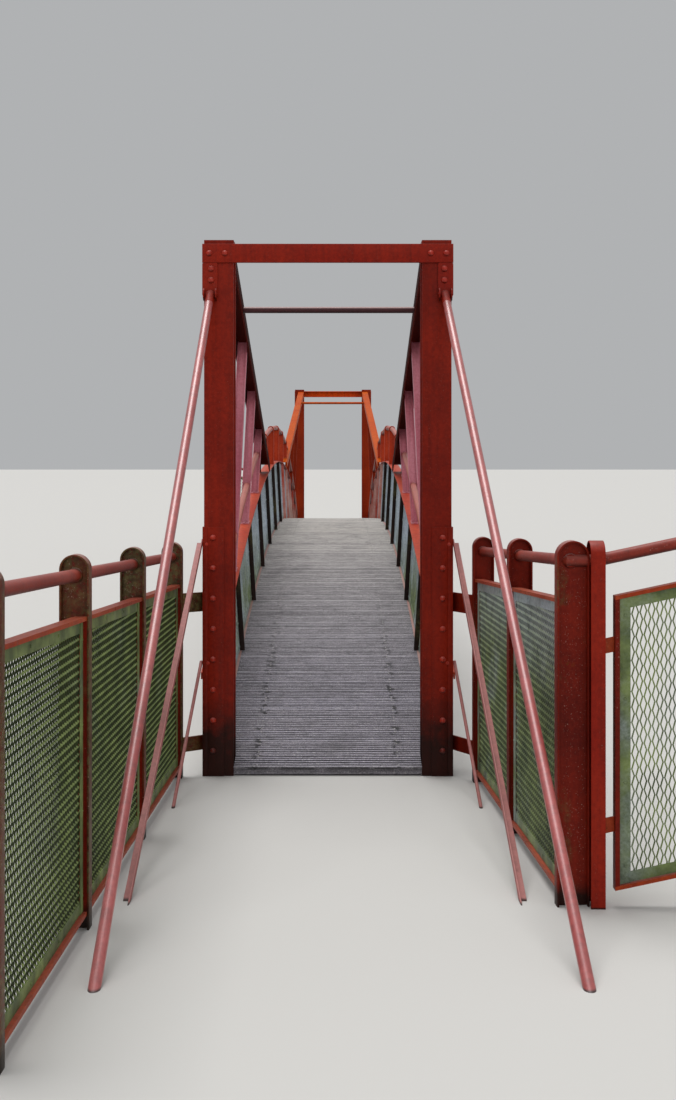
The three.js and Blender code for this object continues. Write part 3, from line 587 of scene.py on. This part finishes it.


# The hangers' alkyd is painted pink for the sky's light on their faces: a painted reflection. The beams' is
# red outside and painted dark inside: painted shade.
hanger_paint = paint("sky_lit_pink_alkyd", "#c8687a", "#d88a98", rust=0.08, speckle=0.2, shine=0.4)
beam_paint = paint("shaded_inside_red_alkyd", "#7a1808", "#96230f", rust=0.1, roughness=0.7, shine=0.04,
                   top_light=0.12, shade=0.85)
w, d, p = BEAM_WIDTH / 2, BEAM_DEPTH / 2, BEAM_PLATE
channel = rounded([(-w, -d), (w, -d), (w, d), (w - p, d), (w - p, p - d), (p - w, p - d),
                   (p - w, d - INNER_LIP), (-w, d - INNER_LIP)], 0.002)
beam = carried(channel, beam_at(np.linspace(-HALF_SPAN, BEAM_REACH - HALF_SPAN, 48)), first=(1, -END))
beam[..., 2] = np.maximum(beam[..., 2], rail_top(beam[..., 1]) + CLEAR)
beam_shells, beam_finishes, far_finishes = [skin(beam)], [beam_paint], [sunlit_paint]
for k in HANGERS:
    y = -k * PITCH
    foot = np.array([HANGER_FOOT, y, rail_top(y) - RUN_ON])
    head = beam_at(y)
    head[2] = beam_top(y) + RUN_ON
    hanger = carried(i_outline(*HANGER_OUTLINE)[:, ::-1], [foot, head])
    hanger[..., 2] = np.clip(hanger[..., 2], rail_top(hanger[..., 1]) + CLEAR,
                             beam_top(hanger[..., 1]) - BEAM_PLATE / 2)
    shells = [skin(hanger), *collars(HANDRAIL_X, y, handrail_line(y), (0, 1, 0))]
    plate = [(HANGER_FOOT, at, rail_top(at) + CLEAR + FOOT_THICK / 2)
             for at in (y - FOOT_HALF, y + FOOT_HALF)]
    shells.append(skin(carried(rectangle(FOOT_WIDE, FOOT_THICK, 0.001), plate)))
    for at in (y - FOOT_BOLT, y + FOOT_BOLT):
        shells += bolt((HANGER_FOOT, at, rail_top(at) + FOOT_THICK + LAP), (0, 0, 1))
    beam_shells += shells
    beam_finishes += [hanger_paint] * len(shells)
    far_finishes += [far_paint] * len(shells)
at_each_corner("suspension_beam", beam_shells, "red_paint", beam_finishes, far_finishes)


# The tie rods: steel tubes 36 mm thick, set between the suspension beams a little inside the towers
# to hold them apart.

ROD_RADIUS, ROD_FROM_TOWER = 0.018, 0.89

# The near rod's alkyd is painted dull and dark for the shade it hangs in, with a painted highlight along the
# top.
rod_paint = paint("dull_red_alkyd", "#400f18", "#501a22", rust=0.1, roughness=0.4, shine=0.4,
                  top_light=0.6)
rod_y = ROD_FROM_TOWER - HALF_SPAN
x, _, z = beam_at(rod_y)
rod_half = x - BEAM_WIDTH / 2 - CLEAR
for end, turn in ENDS:
    rod = revolved((-rod_half, turn * rod_y, z), (1, 0, 0),
                   [(0, ROD_RADIUS), (2 * rod_half, ROD_RADIUS)], 20)
    lay(f"tie_rod_{end}", [rod], rod_paint if turn > 0 else sunlit_paint, [f"{end}_tie_rod"], "red_paint")


# The deck: planed hardwood boards 145 mm wide laid across, with reeded tops. They are bowed up over
# the span. Each is screwed down near both of its ends.

DECK_SIDE, BOARD, GAP, EASED = 0.548 - CLEAR, 0.038, 0.007, 0.002
REEDS = 5  # grooves on each board
REED = ((0.0064, 0), (0.0058, 0.0006), (0.0042, 0.005), (-0.0042, 0.005), (-0.0058, 0.0006), (-0.0064, 0))
BOARDS = 104  # between the towers, and one more inside each
SCREW_X, SCREW_FROM_MIDDLE = 0.355, 0.055
SCREW = (-0.002, 0.0045), (0.0006, 0.0045), (0.0009, 0.0038)
STATIONS = 7  # across the deck


def deck_top(y):
    """The deck's height: a parabola, 0.897 m at mid-span and 0.837 m less at the towers."""
    return 0.897 - 0.837 * (y / HALF_SPAN) ** 2


# Planed hardwood, weathered grey. It is painted pale over the middle of the span for the sheen the far
# boards catch, and darker and bluer towards the ends for the shade there: painted light and shade. Grain
# of 6 mm, specks of 7 mm and worn streaks are drawn coarse, as finer ones don't show. Dark dirt fills
# the reeds and blots the boards round the screws near both ends.
weathered_hardwood, add = blank("weathered_hardwood")
at = add("TexCoord", output="Object")
grain, worn, packed = (
    add("TexNoise", (add("Mapping", {"Vector": at, "Scale": (1000 / long, 1000 / wide, 1000 / wide)}),
                     0, 1, detail, rough))
    for long, wide, detail, rough in ((333, 6.25, 8, 0.7), (71, 11, 5, 0.75), (111, 33, 6, 0.75)))
from_middle = add("Math", (add("SeparateXYZ", (at,), "Y"),), operation="ABSOLUTE")
end_shade_tone, middle_sheen_tone = (films(add, dark, [(grain, 0.3, 0.7, 0, 1, light)])
             for dark, light in (("#76727f", "#aca7b2"), ("#b4ada6", "#e6dfd6")))
board_tone, reed = (add("Attribute", output="Fac", attribute_name=key) for key in ("board", "reed"))
specks, stains, spots = (
    add("TexNoise", (at, 0, 1000 / size, detail, rough))
    for size, detail, rough in ((7, 3, 0.7), (286, 7, 0.65), (45, 3, 0.55)))
dirt = add("Math", (reed, add("MapRange", (packed, 0.38, 0.52, 0.4, 1))), operation="MULTIPLY")
blots = add("MapRange", (spots, 0.54, 0.6, 0, add("MapRange", (from_middle, 4, 7, 0, 0.85))))
to_screws = add("Math", (add("SeparateXYZ", (at,), "X"), SCREW_X), operation="PINGPONG")
colour = films(add, end_shade_tone, [
    (from_middle, 6.8, 1.5, 0, 1, middle_sheen_tone),
    (board_tone, 0, 1, 0, 0.3, "#827c80"),
    (specks, 0.56, 0.63, 0, 0.6, "#e2dedc"),
    (specks, 0.43, 0.36, 0, 0.8, "#1e1a1d"),
    (stains, 0.5, 0.72, 0, 0.5, "#5e5a5e"),
    (worn, 0.5, 0.6, 0, 0.45, "#302c2c"),
    (dirt, 0, 1, 0, 1, "#100f10"),
    (to_screws, SCREW_X - 0.04, SCREW_X - 0.015, 0, blots, "#100f10")])
finished(add, colour, add("MapRange", (grain, 0.2, 0.8, 0.45, 0.7)), 0, grain, 0.45, 0.0015)

# Zinc plate on the screws, dulled to a flat grey.
screw_steel, add = blank("dull_zinc_screws")
finished(add, "#a09c98", 0.5, 0.4)

scatter = np.random.default_rng(7)
board_edges = np.concatenate([[LEG_FRONT], np.linspace(-END, END, BOARDS + 1), [-LEG_FRONT]])
boards, tones, reeds, screws = [], [], [], []
for low, high in zip(board_edges[:-1], board_edges[1:]):
    y = (low + high) / 2
    way = np.array([0, high - low, deck_top(high) - deck_top(low)])
    half_width = (np.linalg.norm(way) - GAP) / 2
    way /= np.linalg.norm(way)
    side = LEG_INNER - CLEAR if abs(y) > END else DECK_SIDE
    top, dark = [(half_width, -EASED), (half_width - EASED, 0)], [0, 0, 1, 0]
    for reed in np.linspace(half_width, -half_width, REEDS + 2)[1:-1]:
        reed += scatter.normal(0, 0.0012)
        top += [(reed + u, -v) for u, v in REED]
        dark += [0, *[scatter.uniform(0.3, 1.0)] * 4, 0]
    top += [(EASED - half_width, 0), (-half_width, -EASED)]
    outline = np.array([(-half_width, -BOARD), (half_width, -BOARD)] + top)
    height = (deck_top(low) + deck_top(high)) / 2 + scatter.normal(0, 0.0006)
    path = np.column_stack([np.linspace(-side, side, STATIONS), np.full(STATIONS, y),
                            height + scatter.normal(0, 0.0005, STATIONS)])
    boards.append(skin(carried(outline, path, way, (0, -side), (0, side))))
    tones.append(np.full(STATIONS * len(outline), scatter.random()))
    reeds.append(np.tile(np.array(dark + [0, 1], float), STATIONS))
    up = np.cross((1, 0, 0), way)
    for x in (-SCREW_X, SCREW_X):
        for u in (-SCREW_FROM_MIDDLE, SCREW_FROM_MIDDLE):
            screws.append(revolved((x, y, height) + u * way, up, SCREW, 8))
plain = np.zeros(sum(len(points) for points, _ in screws))
lay("reeded_deck_boards", boards + screws, [weathered_hardwood] * len(boards) + [screw_steel] * len(screws),
    ["deck_boards"], "timber",
    {"board": np.concatenate(tones + [plain]), "reed": np.concatenate(reeds + [plain])})


# The deck frame: two bowed steel channels at the edges, their backs to the boards, with a ledge angle
# on each for the boards' ends, and I section bearers welded between them under every post.

STRINGER_INNER, STRINGER_WIDTH, STRINGER_DEPTH = 0.548, 0.054, 0.150
STRINGER_WEB, FLANGE_ROOT, FLANGE_LIP = 0.008, 0.011, 0.009
LEDGE, LEDGE_THICK, LEDGE_LAP = 0.042, 0.008, 0.002
BEARER_OUTLINE, BEARER_GAP = (0.060, 0.080, 0.007, 0.006), 0.004
POSTS = range(-5, 6)  # counted from mid-span

# The alkyd on the frame is scuffed pale, with patches of rust and moss.
edge_paint = paint("scuffed_red_alkyd", "#85564c", "#a88a80", rust=0.3, moss=0.3, speckle=0.7)
along = np.linspace(-END, END, 53)


def along_span(outline, heights):
    """An outline of (x, depth below the line) carried along a line of heights over the span."""
    line = np.linspace(-END, END, len(heights))
    path = np.column_stack([np.zeros_like(line), line, heights])
    return carried(outline, path, first=(1, -END), last=(1, END))


low = BOARD + STRINGER_DEPTH
back, lips = STRINGER_INNER, STRINGER_INNER + STRINGER_WIDTH
stringer = along_span(rounded([
    (back, 0), (lips, 0), (lips, FLANGE_LIP), (back + STRINGER_WEB, FLANGE_ROOT),
    (back + STRINGER_WEB, low - FLANGE_ROOT), (lips, low - FLANGE_LIP), (lips, low), (back, low)], 0.0015),
    deck_top(along))
stringer[..., 2] = np.maximum(stringer[..., 2], 0)
ledge = along_span(np.array([(back - LEDGE, 0), (back + LEDGE_LAP, 0), (back + LEDGE_LAP, LEDGE_THICK),
                             (back - LEDGE, LEDGE_THICK)]), deck_top(along) - BOARD - CLEAR)
frame_shells = []
for _, side in SIDES:
    frame_shells += mapped([skin(stringer), skin(ledge)], (side, 1, 1))
for k in POSTS:
    y = k * PITCH
    half = BEARER_OUTLINE[0] / 2
    top = min(deck_top(y - half), deck_top(y + half)) - BOARD - CLEAR - BEARER_GAP
    middle = top - BEARER_OUTLINE[1] / 2
    frame_shells.append(skin(carried(i_outline(*BEARER_OUTLINE), [
        (-back - 2 * LAP, y, middle), (back + 2 * LAP, y, middle)], (0, 1, 0))))
lay("bowed_deck_frame", frame_shells, edge_paint, ["deck_frame"], "red_paint")


# The top rails: bowed steel angles over the mesh screens. Flat posts, welded under them at every
# panel, lean in a little down to the edge of the deck.

POST_INNER, POST_WIDTH, POST_THICK, SCREEN_LEAN = 0.529, 0.036, 0.010, 0.033
INTO_RAIL = 0.003  # by which a post runs into the rail over it


def on_each_side(piece, shells, finishes, slot):
    """Lays a piece that is made on the right on both sides of the bridge."""
    for hand, side in SIDES:
        lay(f"{piece}_{hand}", mapped(shells, (side, 1, 1)), finishes, [f"{hand}_{piece}"], slot)


# The rails' alkyd is the brightest orange red; the handrails' is paler, with more painted highlight along
# the top. The posts short of mid-span are painted nearly black for the shade they stand in, and those past
# it pink for the light that falls on them from beyond: painted shade and painted light.
rail_paint = paint("brushed_orange_red_alkyd", "#b8320f", "#c84a24", rust=0.12, speckle=0.4,
                   shine=0.15, top_light=0.06)
handrail_paint = paint("top_lit_orange_red_alkyd", "#a8402a", "#bc5c48", rust=0.2, speckle=0.4,
                       shine=0.3, top_light=0.3)
sunlit_post_paint = paint("sunlit_pink_alkyd", "#c84a38", "#ecbcb0", rust=0.08, speckle=0.6)
post_paint = paint("shaded_dark_alkyd", "#1a100d", "#2a1813", rust=0.2, moss=0.3)
outer = RAIL_INNER + RAIL_WIDTH
rail = along_span(rounded([
    (RAIL_INNER, 0), (outer, 0), (outer, RAIL_LIP), (outer - RAIL_THICK, RAIL_LIP),
    (outer - RAIL_THICK, RAIL_THICK), (RAIL_INNER, RAIL_THICK)], 0.0022), rail_top(along))
rail_shells, rail_finishes = [skin(rail)], [rail_paint]
for k in POSTS:
    y, half = k * PITCH, POST_THICK / 2
    foot = (POST_INNER + POST_WIDTH / 2, y, max(deck_top(y - half), deck_top(y + half)) + CLEAR + LAP)
    head = (foot[0] + SCREEN_LEAN, y, rail_top(y) - RAIL_THICK + INTO_RAIL)
    rail_shells.append(skin(carried(rectangle(POST_WIDTH, POST_THICK), [foot, head],
                                    first=(2, foot[2]), last=(2, head[2]))))
    rail_finishes.append(post_paint if k < 1 else sunlit_post_paint)
on_each_side("top_rail", rail_shells, rail_finishes, "orange_paint")


# The handrails: bowed steel tubes 44 mm thick. Over the middle of the span they pass through short
# posts of I section whose outer flange is one strap, bent round over the top.

SHORT_POSTS = range(-2, 3)
SHORT_POST = dict(width=0.06, depth=0.05, strap=0.006, web=0.005)
OVER_HANDRAIL, OVER_RAIL, OVER_BEAM = 0.03, 0.001, 0.005


def strapped_post(middle, foot, head, width, depth, strap, web, across):
    """The strap runs up one side, round a half circle, and down the other. The web fills the space
    between, from the middle of the strap's thickness."""
    across = np.asarray(across, float)
    along_post = np.cross((0, 0, 1), across)
    radius = width / 2
    turn = np.linspace(0, np.pi, 17)
    r = radius - strap / 2
    u = np.concatenate([[r], r * np.cos(turn), [-r]])
    z = np.concatenate([[foot], head - radius + r * np.sin(turn), [foot]])
    line = np.asarray(middle, float) + u[:, None] * across + z[:, None] * (0, 0, 1)
    bent = carried(rectangle(depth, strap, 0.0018), line, along_post)
    return [skin(bent), skin(np.stack([line - web / 2 * along_post, line + web / 2 * along_post]))]


tube = along_span(circle(TUBE_RADIUS) + (HANDRAIL_X, 0), handrail_line(np.linspace(-END, END, 65)))
tube_shells, tube_finishes = [skin(tube)], [handrail_paint]
for k in SHORT_POSTS:
    y = k * PITCH
    foot = CLEAR + (rail_top(y) + OVER_RAIL if abs(k) < 2 else beam_top(y) + OVER_BEAM)
    tube_shells += strapped_post((HANDRAIL_X, y, 0), foot, handrail_line(y) + OVER_HANDRAIL,
                                 across=(1, 0, 0), **SHORT_POST)
    tube_shells += collars(HANDRAIL_X, y, handrail_line(y), (0, 1, 0))
    tube_finishes += [rail_paint] * 4
on_each_side("handrail", tube_shells, tube_finishes, "orange_paint")


# The mesh screens: galvanised expanded steel, with upright diamonds 29 mm wide and 55 mm high, in flat
# galvanised frames, one between each two posts. Small button heads hold the sheets to the flats.

DIAMOND_WIDE, DIAMOND_HIGH, STRAND, STRAND_DEEP, STRAND_TILT = 0.029, 0.055, 0.0047, 0.004, 0.0024
FLAT_WIDE, FLAT_THICK = 0.038, 0.003
SHEET_IN = FLAT_WIDE / 3  # how far in from the frame's edge a sheet starts
BUTTON = (-0.002, 0.006), (0.002, 0.0055), (0.004, 0.003)
BUTTON_PITCH = 0.31
SCREEN_X, SCREEN_GAP, SCREEN_IN = 0.570, 0.002, 0.008


def zinc(name, moss, clean_above=None, bonds_from=None, strand_shade=0.9, dull="#6f7878", bright="#a3adac"):
    """Weathered hot-dip zinc: grey spangle of a few millimetres, drawn 11 mm across as a finer one
    doesn't show, under a green film that thins out towards the height `clean_above`. Painted shade
    darkens the strands of a sheet by `strand_shade` between its rows of bonds, and the bonds get a painted
    highlight. The rows lie half a diamond apart from the height `bonds_from` up."""
    made, add = blank(name)
    at = add("TexCoord", output="Object")
    height = add("SeparateXYZ", (at,), "Z")
    spangle, patches, tints, dirt = (
        add("TexNoise", (at, 0, 1000 / size, detail, rough))
        for size, detail, rough in ((11, 3, 0.6), (385, 7, 0.66), (111, 6, 0.55), (71, 5, 0.6)))
    most = 1.0
    if clean_above:
        most = add("MapRange", (height, clean_above + 0.1, clean_above - 0.25, 0.25, 1))
    film = add("MapRange", (patches, 0.62 - 0.5 * moss, 0.8 - 0.35 * moss, 0, most))
    film_tone = films(add, "#4a581e", [(tints, 0.35, 0.65, 0, 1, "#86964c")])
    rows = [(spangle, 0.3, 0.7, 0, 1, bright), (film, 0, 1, 0, 0.85, film_tone),
            (dirt, 0.5, 0.72, 0, 0.5, "#2c3020")]
    if bonds_from is not None:
        above = add("Math", (height, bonds_from), operation="SUBTRACT")
        off_bond = add("Math", (above, DIAMOND_HIGH / 4), operation="PINGPONG")
        strand = add("MapRange", (off_bond, 0.05 * DIAMOND_HIGH, 0.12 * DIAMOND_HIGH))
        # Painted shade on the strands between the bonds, and a painted highlight on the bonds.
        rows += [(strand, 0, 1, 0, strand_shade, "#1c270a"), (strand, 0.1, 0, 0, 0.4, "#a2b276")]
    colour = films(add, dull, rows)
    metal = add("MapRange", (film, 0, 1, 0.2, 0))
    rough = add("MapRange", (spangle, 0.3, 0.7, 0.42, 0.6))
    finished(add, colour, rough, metal, spangle, 0.2, 0.0006, shine=0.15)
    return made


def strip(at, p, low, high, near, far):
    """A flat bar: at stations p along a sheet it spans heights low to high and depths near to far."""
    low, high = np.broadcast_to(low, p.shape), np.broadcast_to(high, p.shape)
    heights = np.stack([low, high, high, low], -1)
    return skin(at(p[:, None], heights, np.array([near, near, far, far])))


def diamonds(at, start, stop, low, high):
    """Expanded sheet between two heights over p. Strand k steps between p = k and k + 1 half diamonds
    at every half diamond of height, and keeps half a strand clear of both."""
    half = (stop - start) / round((stop - start) / (DIAMOND_WIDE / 2))
    strands = np.arange(round((stop - start) / half))[:, None]
    ends = start + strands * half
    rise = np.max(high(ends) - low(ends))
    rows = np.arange(math.ceil(rise / (DIAMOND_HIGH / 2)) + 1)[None, :]
    right = (strands + rows) % 2
    keep = STRAND / 2 + 0.0001
    p = ends + np.where(right, half - keep, keep)
    z = np.minimum(low(p) + rows * DIAMOND_HIGH / 2, high(p))
    tilt = np.where(right, STRAND_TILT, -STRAND_TILT)
    corner_p = np.array([-0.5, 0.5, 0.5, -0.5]) * STRAND
    corner_q = np.array([-0.5, -0.5, 0.5, 0.5]) * STRAND_DEEP
    return skin(at(p[..., None] + corner_p, z[..., None] + 0 * corner_p, tilt[..., None] + corner_q))


def framed_sheet(at, start, stop, low, high):
    """A sheet in its frame. The flats lie on its inner side, the uprights over the others, with a
    small button head every 0.3 m or so. Depths q are negative inwards."""
    p = np.linspace(start, stop, 2 * max(2, round((stop - start) / BUTTON_PITCH)) + 1)
    near = -STRAND_DEEP / 2 - STRAND_TILT
    far = near - FLAT_THICK
    over = far - FLAT_THICK
    shells = [diamonds(at, start + SHEET_IN, stop - SHEET_IN, lambda x: low(x) + SHEET_IN,
                       lambda x: high(x) - SHEET_IN),
              strip(at, p, low(p), low(p) + FLAT_WIDE, near, far),
              strip(at, p, high(p) - FLAT_WIDE, high(p), near, far)]

    def button(spot, z, depth):
        """A head on a flat's face, at a depth."""
        base, tip = at(np.float64(spot), z, depth), at(np.float64(spot), z, depth - 0.01)
        shells.append(revolved(base, tip - base, BUTTON, 8))

    for edge in (np.array([start, start + FLAT_WIDE]), np.array([stop - FLAT_WIDE, stop])):
        shells.append(strip(at, edge, low(edge), high(edge), far, over))
        spot = edge.mean()
        for share in np.linspace(0.06, 0.94, 4):
            button(spot, low(spot) + share * (high(spot) - low(spot)), over)
    for spot in p[2:-1:2]:
        button(spot, low(spot) + FLAT_WIDE / 2, far)
        button(spot, high(spot) - FLAT_WIDE / 2, far)
    return shells


def screen_at(y, z, q):
    """The right screen: it leans 33 mm outwards between the deck and the rail, and q is depth."""
    y, z, q = np.broadcast_arrays(y, z, q)
    share = (z - deck_top(y)) / (rail_top(y) - deck_top(y))
    return np.stack([SCREEN_X + SCREEN_LEAN * share + q, y, z], -1)


# The screens' zinc is painted pale and bluish for the sky it reflects, a painted reflection, and its green
# film thins towards the rail.
screen_zinc = zinc("arched_zinc", 0.7, 0.9, dull="#a9b5c6", bright="#e0e9f4")
screen_shells = []
screen_edges = [-END] + [k * PITCH for k in POSTS] + [END]
for low_y, high_y in zip(screen_edges[:-1], screen_edges[1:]):
    screen_shells += framed_sheet(
        screen_at, low_y + SCREEN_IN, high_y - SCREEN_IN, lambda y: deck_top(y) + SCREEN_GAP,
        lambda y: rail_top(y) - RAIL_THICK - SCREEN_GAP)
on_each_side("mesh_screen", screen_shells, screen_zinc, "galvanised_mesh")


# The fences beside the paths: I section posts with strapped tops, a tube through their webs, and a
# frame of thin steel bars round each panel. The first post is tied to the tower's leg by two plates.
# Beyond the last post on the right one more bay climbs the bank, with its panel on tabs.

FENCE_POST = dict(width=0.102, depth=0.052, strap=0.007, web=0.006)
OVER_TUBE, BOTTOM_RAIL, BAR_WIDE, BAR_HIGH, UPRIGHT, GAP_TO_POST = 0.072, 0.050, 0.044, 0.014, 0.016, 0.004
PANEL_GAP = 0.002
PANEL_Q = 0.029 - FENCE_POST["width"] / 2  # the panels' plane, towards the path from the posts' middle
BANK_OFFSET, BANK_STUB, BANK_BAY, BANK_SLOPE, BANK_CLEAR = 0.092, 0.030, 1.0, 0.213, 0.047
TAB_SHARES, TAB_HIGH, TAB_THICK = (0.2, 0.82), 0.054, 0.006
TIES, TIE_THICK, TIE_BACK, TIE_IN = ((0.818, 0.915), (0.122, 0.196)), 0.008, 0.055, 0.030
END_POST_WIDER = 0.014  # the last post on the right fills the space up to the bank fence
SHEET_LOW = BOTTOM_RAIL + BAR_HIGH + PANEL_GAP + SHEET_IN  # where the lowest row of bonds lies

# Alkyd on the left posts is under moss, rust and lichen. On the right posts and on the upright bars it
# is streaked and deep red, on the tubes red with a painted salmon highlight along the top, and on the
# other bars a rusty orange.
mossy_paint = paint("mossy_red_alkyd", "#5e130a", "#742014", rust=0.5, moss=1.15, grime=0.1, speckle=0.8)
deep_paint = paint("streaked_red_alkyd", "#66160a", "#84200f", rust=0.28, moss=0.08, grime=0.1, speckle=0.5,
                   shine=0.1)
tube_paint = paint("salmon_red_alkyd", "#802212", "#983828", rust=0.4, speckle=0.5, shine=0.25,
                   top_light=0.14)
bar_paint = paint("rusty_orange_alkyd", "#98300f", "#ae4820", rust=0.5, speckle=0.3, shine=0.15,
                  top_light=0.1)

# Zinc under green film on the left, cleaner and bluish near the top on the right, green on the bank.
left_zinc = zinc("mossy_zinc_mesh", 1.0, None, SHEET_LOW), zinc("mossy_zinc", 1.0)
right_zinc = (zinc("clean_zinc_mesh", 0.9, 0.93, SHEET_LOW, 0.62, "#bcc8d4", "#f2f8fc"),
              zinc("clean_topped_zinc", 0.85, 0.93, dull="#98a4b0", bright="#ccd6e0"))
bank_zinc = zinc("green_zinc_mesh", 0.8), zinc("green_zinc", 0.7)


def placed(origin, way, away):
    """(p, z, q) to the point p along the way, q away from the path and z up from the origin."""
    def at(p, z, q):
        p, z, q = (np.asarray(each, float)[..., None] for each in np.broadcast_arrays(p, z, q))
        return origin + p * way + q * away + z * (0, 0, 1)
    return at


def fence_bay(origin, way, away, length, tube, rail, slope, bottom_slope=0.0, clear=0.0):
    """One bay from the middle of one post to the middle of the next: the shells of its frame, their
    finishes, and its panel."""
    at = placed(origin, way, away)
    inset = FENCE_POST["depth"] / 2 + GAP_TO_POST + clear
    start = inset - UPRIGHT if clear else FENCE_POST["web"] / 2
    low = lambda p: BOTTOM_RAIL + bottom_slope * p
    high = lambda p: rail + slope * p
    near, far = PANEL_Q - BAR_WIDE / 2, PANEL_Q + BAR_WIDE / 2
    run, whole = np.array([start, length - start]), np.array([0, length])
    bars = [strip(at, run, high(run), high(run) + BAR_HIGH, near, far),
            strip(at, run, low(run), low(run) + BAR_HIGH, near, far)]
    uprights = []
    for edge in (np.array([inset - UPRIGHT, inset]), np.array([length - inset, length - inset + UPRIGHT])):
        uprights.append(strip(at, edge, low(edge) + BAR_HIGH, high(edge), near, far))
        if clear:
            toward = np.array([0, edge[0]]) if edge[0] < length / 2 else np.array([edge[1], length])
            for share in TAB_SHARES:
                level = low(toward) + share * (high(toward) - low(toward))
                bars.append(strip(at, toward, level, level + TAB_HIGH, PANEL_Q - TAB_THICK / 2,
                                  PANEL_Q + TAB_THICK / 2))
    shells = bars + [skin(carried(circle(TUBE_RADIUS), at(whole, tube + slope * whole, 0), away))] + uprights
    panel = framed_sheet(lambda p, z, q: at(p, z, np.asarray(q) + PANEL_Q),
                         inset + PANEL_GAP, length - inset - PANEL_GAP,
                         lambda p: low(p) + BAR_HIGH + PANEL_GAP, lambda p: high(p) - PANEL_GAP)
    return shells, [bar_paint] * len(bars) + [tube_paint] + [deep_paint] * 2, panel


def fence_post(middle, height, way, across, material, wider=0.0):
    """A post round the tube, with its collars, and their finishes."""
    size = dict(FENCE_POST, width=FENCE_POST["width"] + wider)
    shells = strapped_post(middle + (wider / 2, 0, 0), 0, height + OVER_TUBE, across=across, **size)
    shells += collars(middle[0], middle[1], height, way, 0.012)
    return shells, [material] * len(shells)


def fence(side, x, y, step_x, step_y, bays, tube, rail, rise, own_paint):
    """The shells of a near fence's frame, their finishes, and its panels. It starts at (x, y)."""
    length = math.hypot(step_x, step_y)
    way = np.array([side * step_x, step_y, 0]) / length
    away = side * np.array([-way[1], way[0], 0])
    parts, panels = [], []

    def add_bay(*given):
        """One more bay: its frame joins the parts, and its panel the panels."""
        *bay, panel = fence_bay(*given)
        parts.append(bay)
        panels.append(panel)

    for i in range(bays + 1):
        middle, up = np.array([side * x, y, 0]) + i * length * way, i * rise
        wider = END_POST_WIDER if side > 0 and i == bays else 0.0
        parts.append(fence_post(middle, tube + up, way, away, own_paint, wider))
        if i < bays:
            add_bay(middle, way, away, length, tube + up, rail + up, rise / length)
    for low, high in TIES:
        level = (low + high) / 2
        leg_end = (side * (angle_side + LAP), LEG_FRONT + TIE_BACK + 0.3 * CLEAR, level)
        tie = carried(rectangle(high - low, TIE_THICK), [leg_end, (side * (x - TIE_IN), y, level)],
                      (0, 0, 1), first=(0, leg_end[0]))
        parts.append(([skin(tie)], [own_paint]))
    if side > 0:
        last, tube, rail = middle + (BANK_OFFSET, 0, 0), tube + up, rail + up
        right, back_way = np.array([1.0, 0, 0]), np.array([0, 1.0, 0])
        add_bay(last, right, back_way, BANK_BAY, tube, rail, BANK_SLOPE, BANK_SLOPE, BANK_CLEAR)
        stub = revolved(middle + (0, 0, tube), right, [
            (-BANK_STUB, 0.006), (0.006 - BANK_STUB, 0.015), (0.016 - BANK_STUB, TUBE_RADIUS),
            (BANK_OFFSET, TUBE_RADIUS)], 20)
        parts.append(([stub], [tube_paint]))
        for p in (0, BANK_BAY):
            parts.append(fence_post(last + (p, 0, 0), tube + BANK_SLOPE * p, right, back_way, cross_paint))
    shells, finishes = (sum(each, []) for each in zip(*parts))
    return shells, finishes, panels


left_fence = fence(-1, x=0.774, y=-8.010, step_x=0.035, step_y=-1.110, bays=3, tube=1.099, rail=0.947,
                   rise=0.048, own_paint=mossy_paint)
right_fence = fence(1, x=0.764, y=-8.100, step_x=0.055, step_y=-0.945, bays=2, tube=1.131, rail=0.982,
                    rise=0.048, own_paint=deep_paint)
for end, turn in ENDS:
    for hand, (shells, finishes, panels) in zip(("left", "right")[::turn], (left_fence, right_fence)):
        lay(f"fence_frame_{end}_{hand}", mapped(shells, (turn, turn, 1)), finishes,
            [f"{end}_{hand}_fence_frame"], "red_paint")
        on_left = panels is left_fence[2]
        for i, panel in enumerate(panels):
            bank = not on_left and i == 2
            node = f"{end}_bank_fence_panel" if bank else f"{end}_{hand}_fence_panel_{i + 1}"
            sheet, flats = bank_zinc if bank else left_zinc if on_left else right_zinc
            lay(f"panel_{node}", mapped(panel, (turn, turn, 1)), [sheet] + [flats] * (len(panel) - 1),
                [node], "galvanised_mesh")
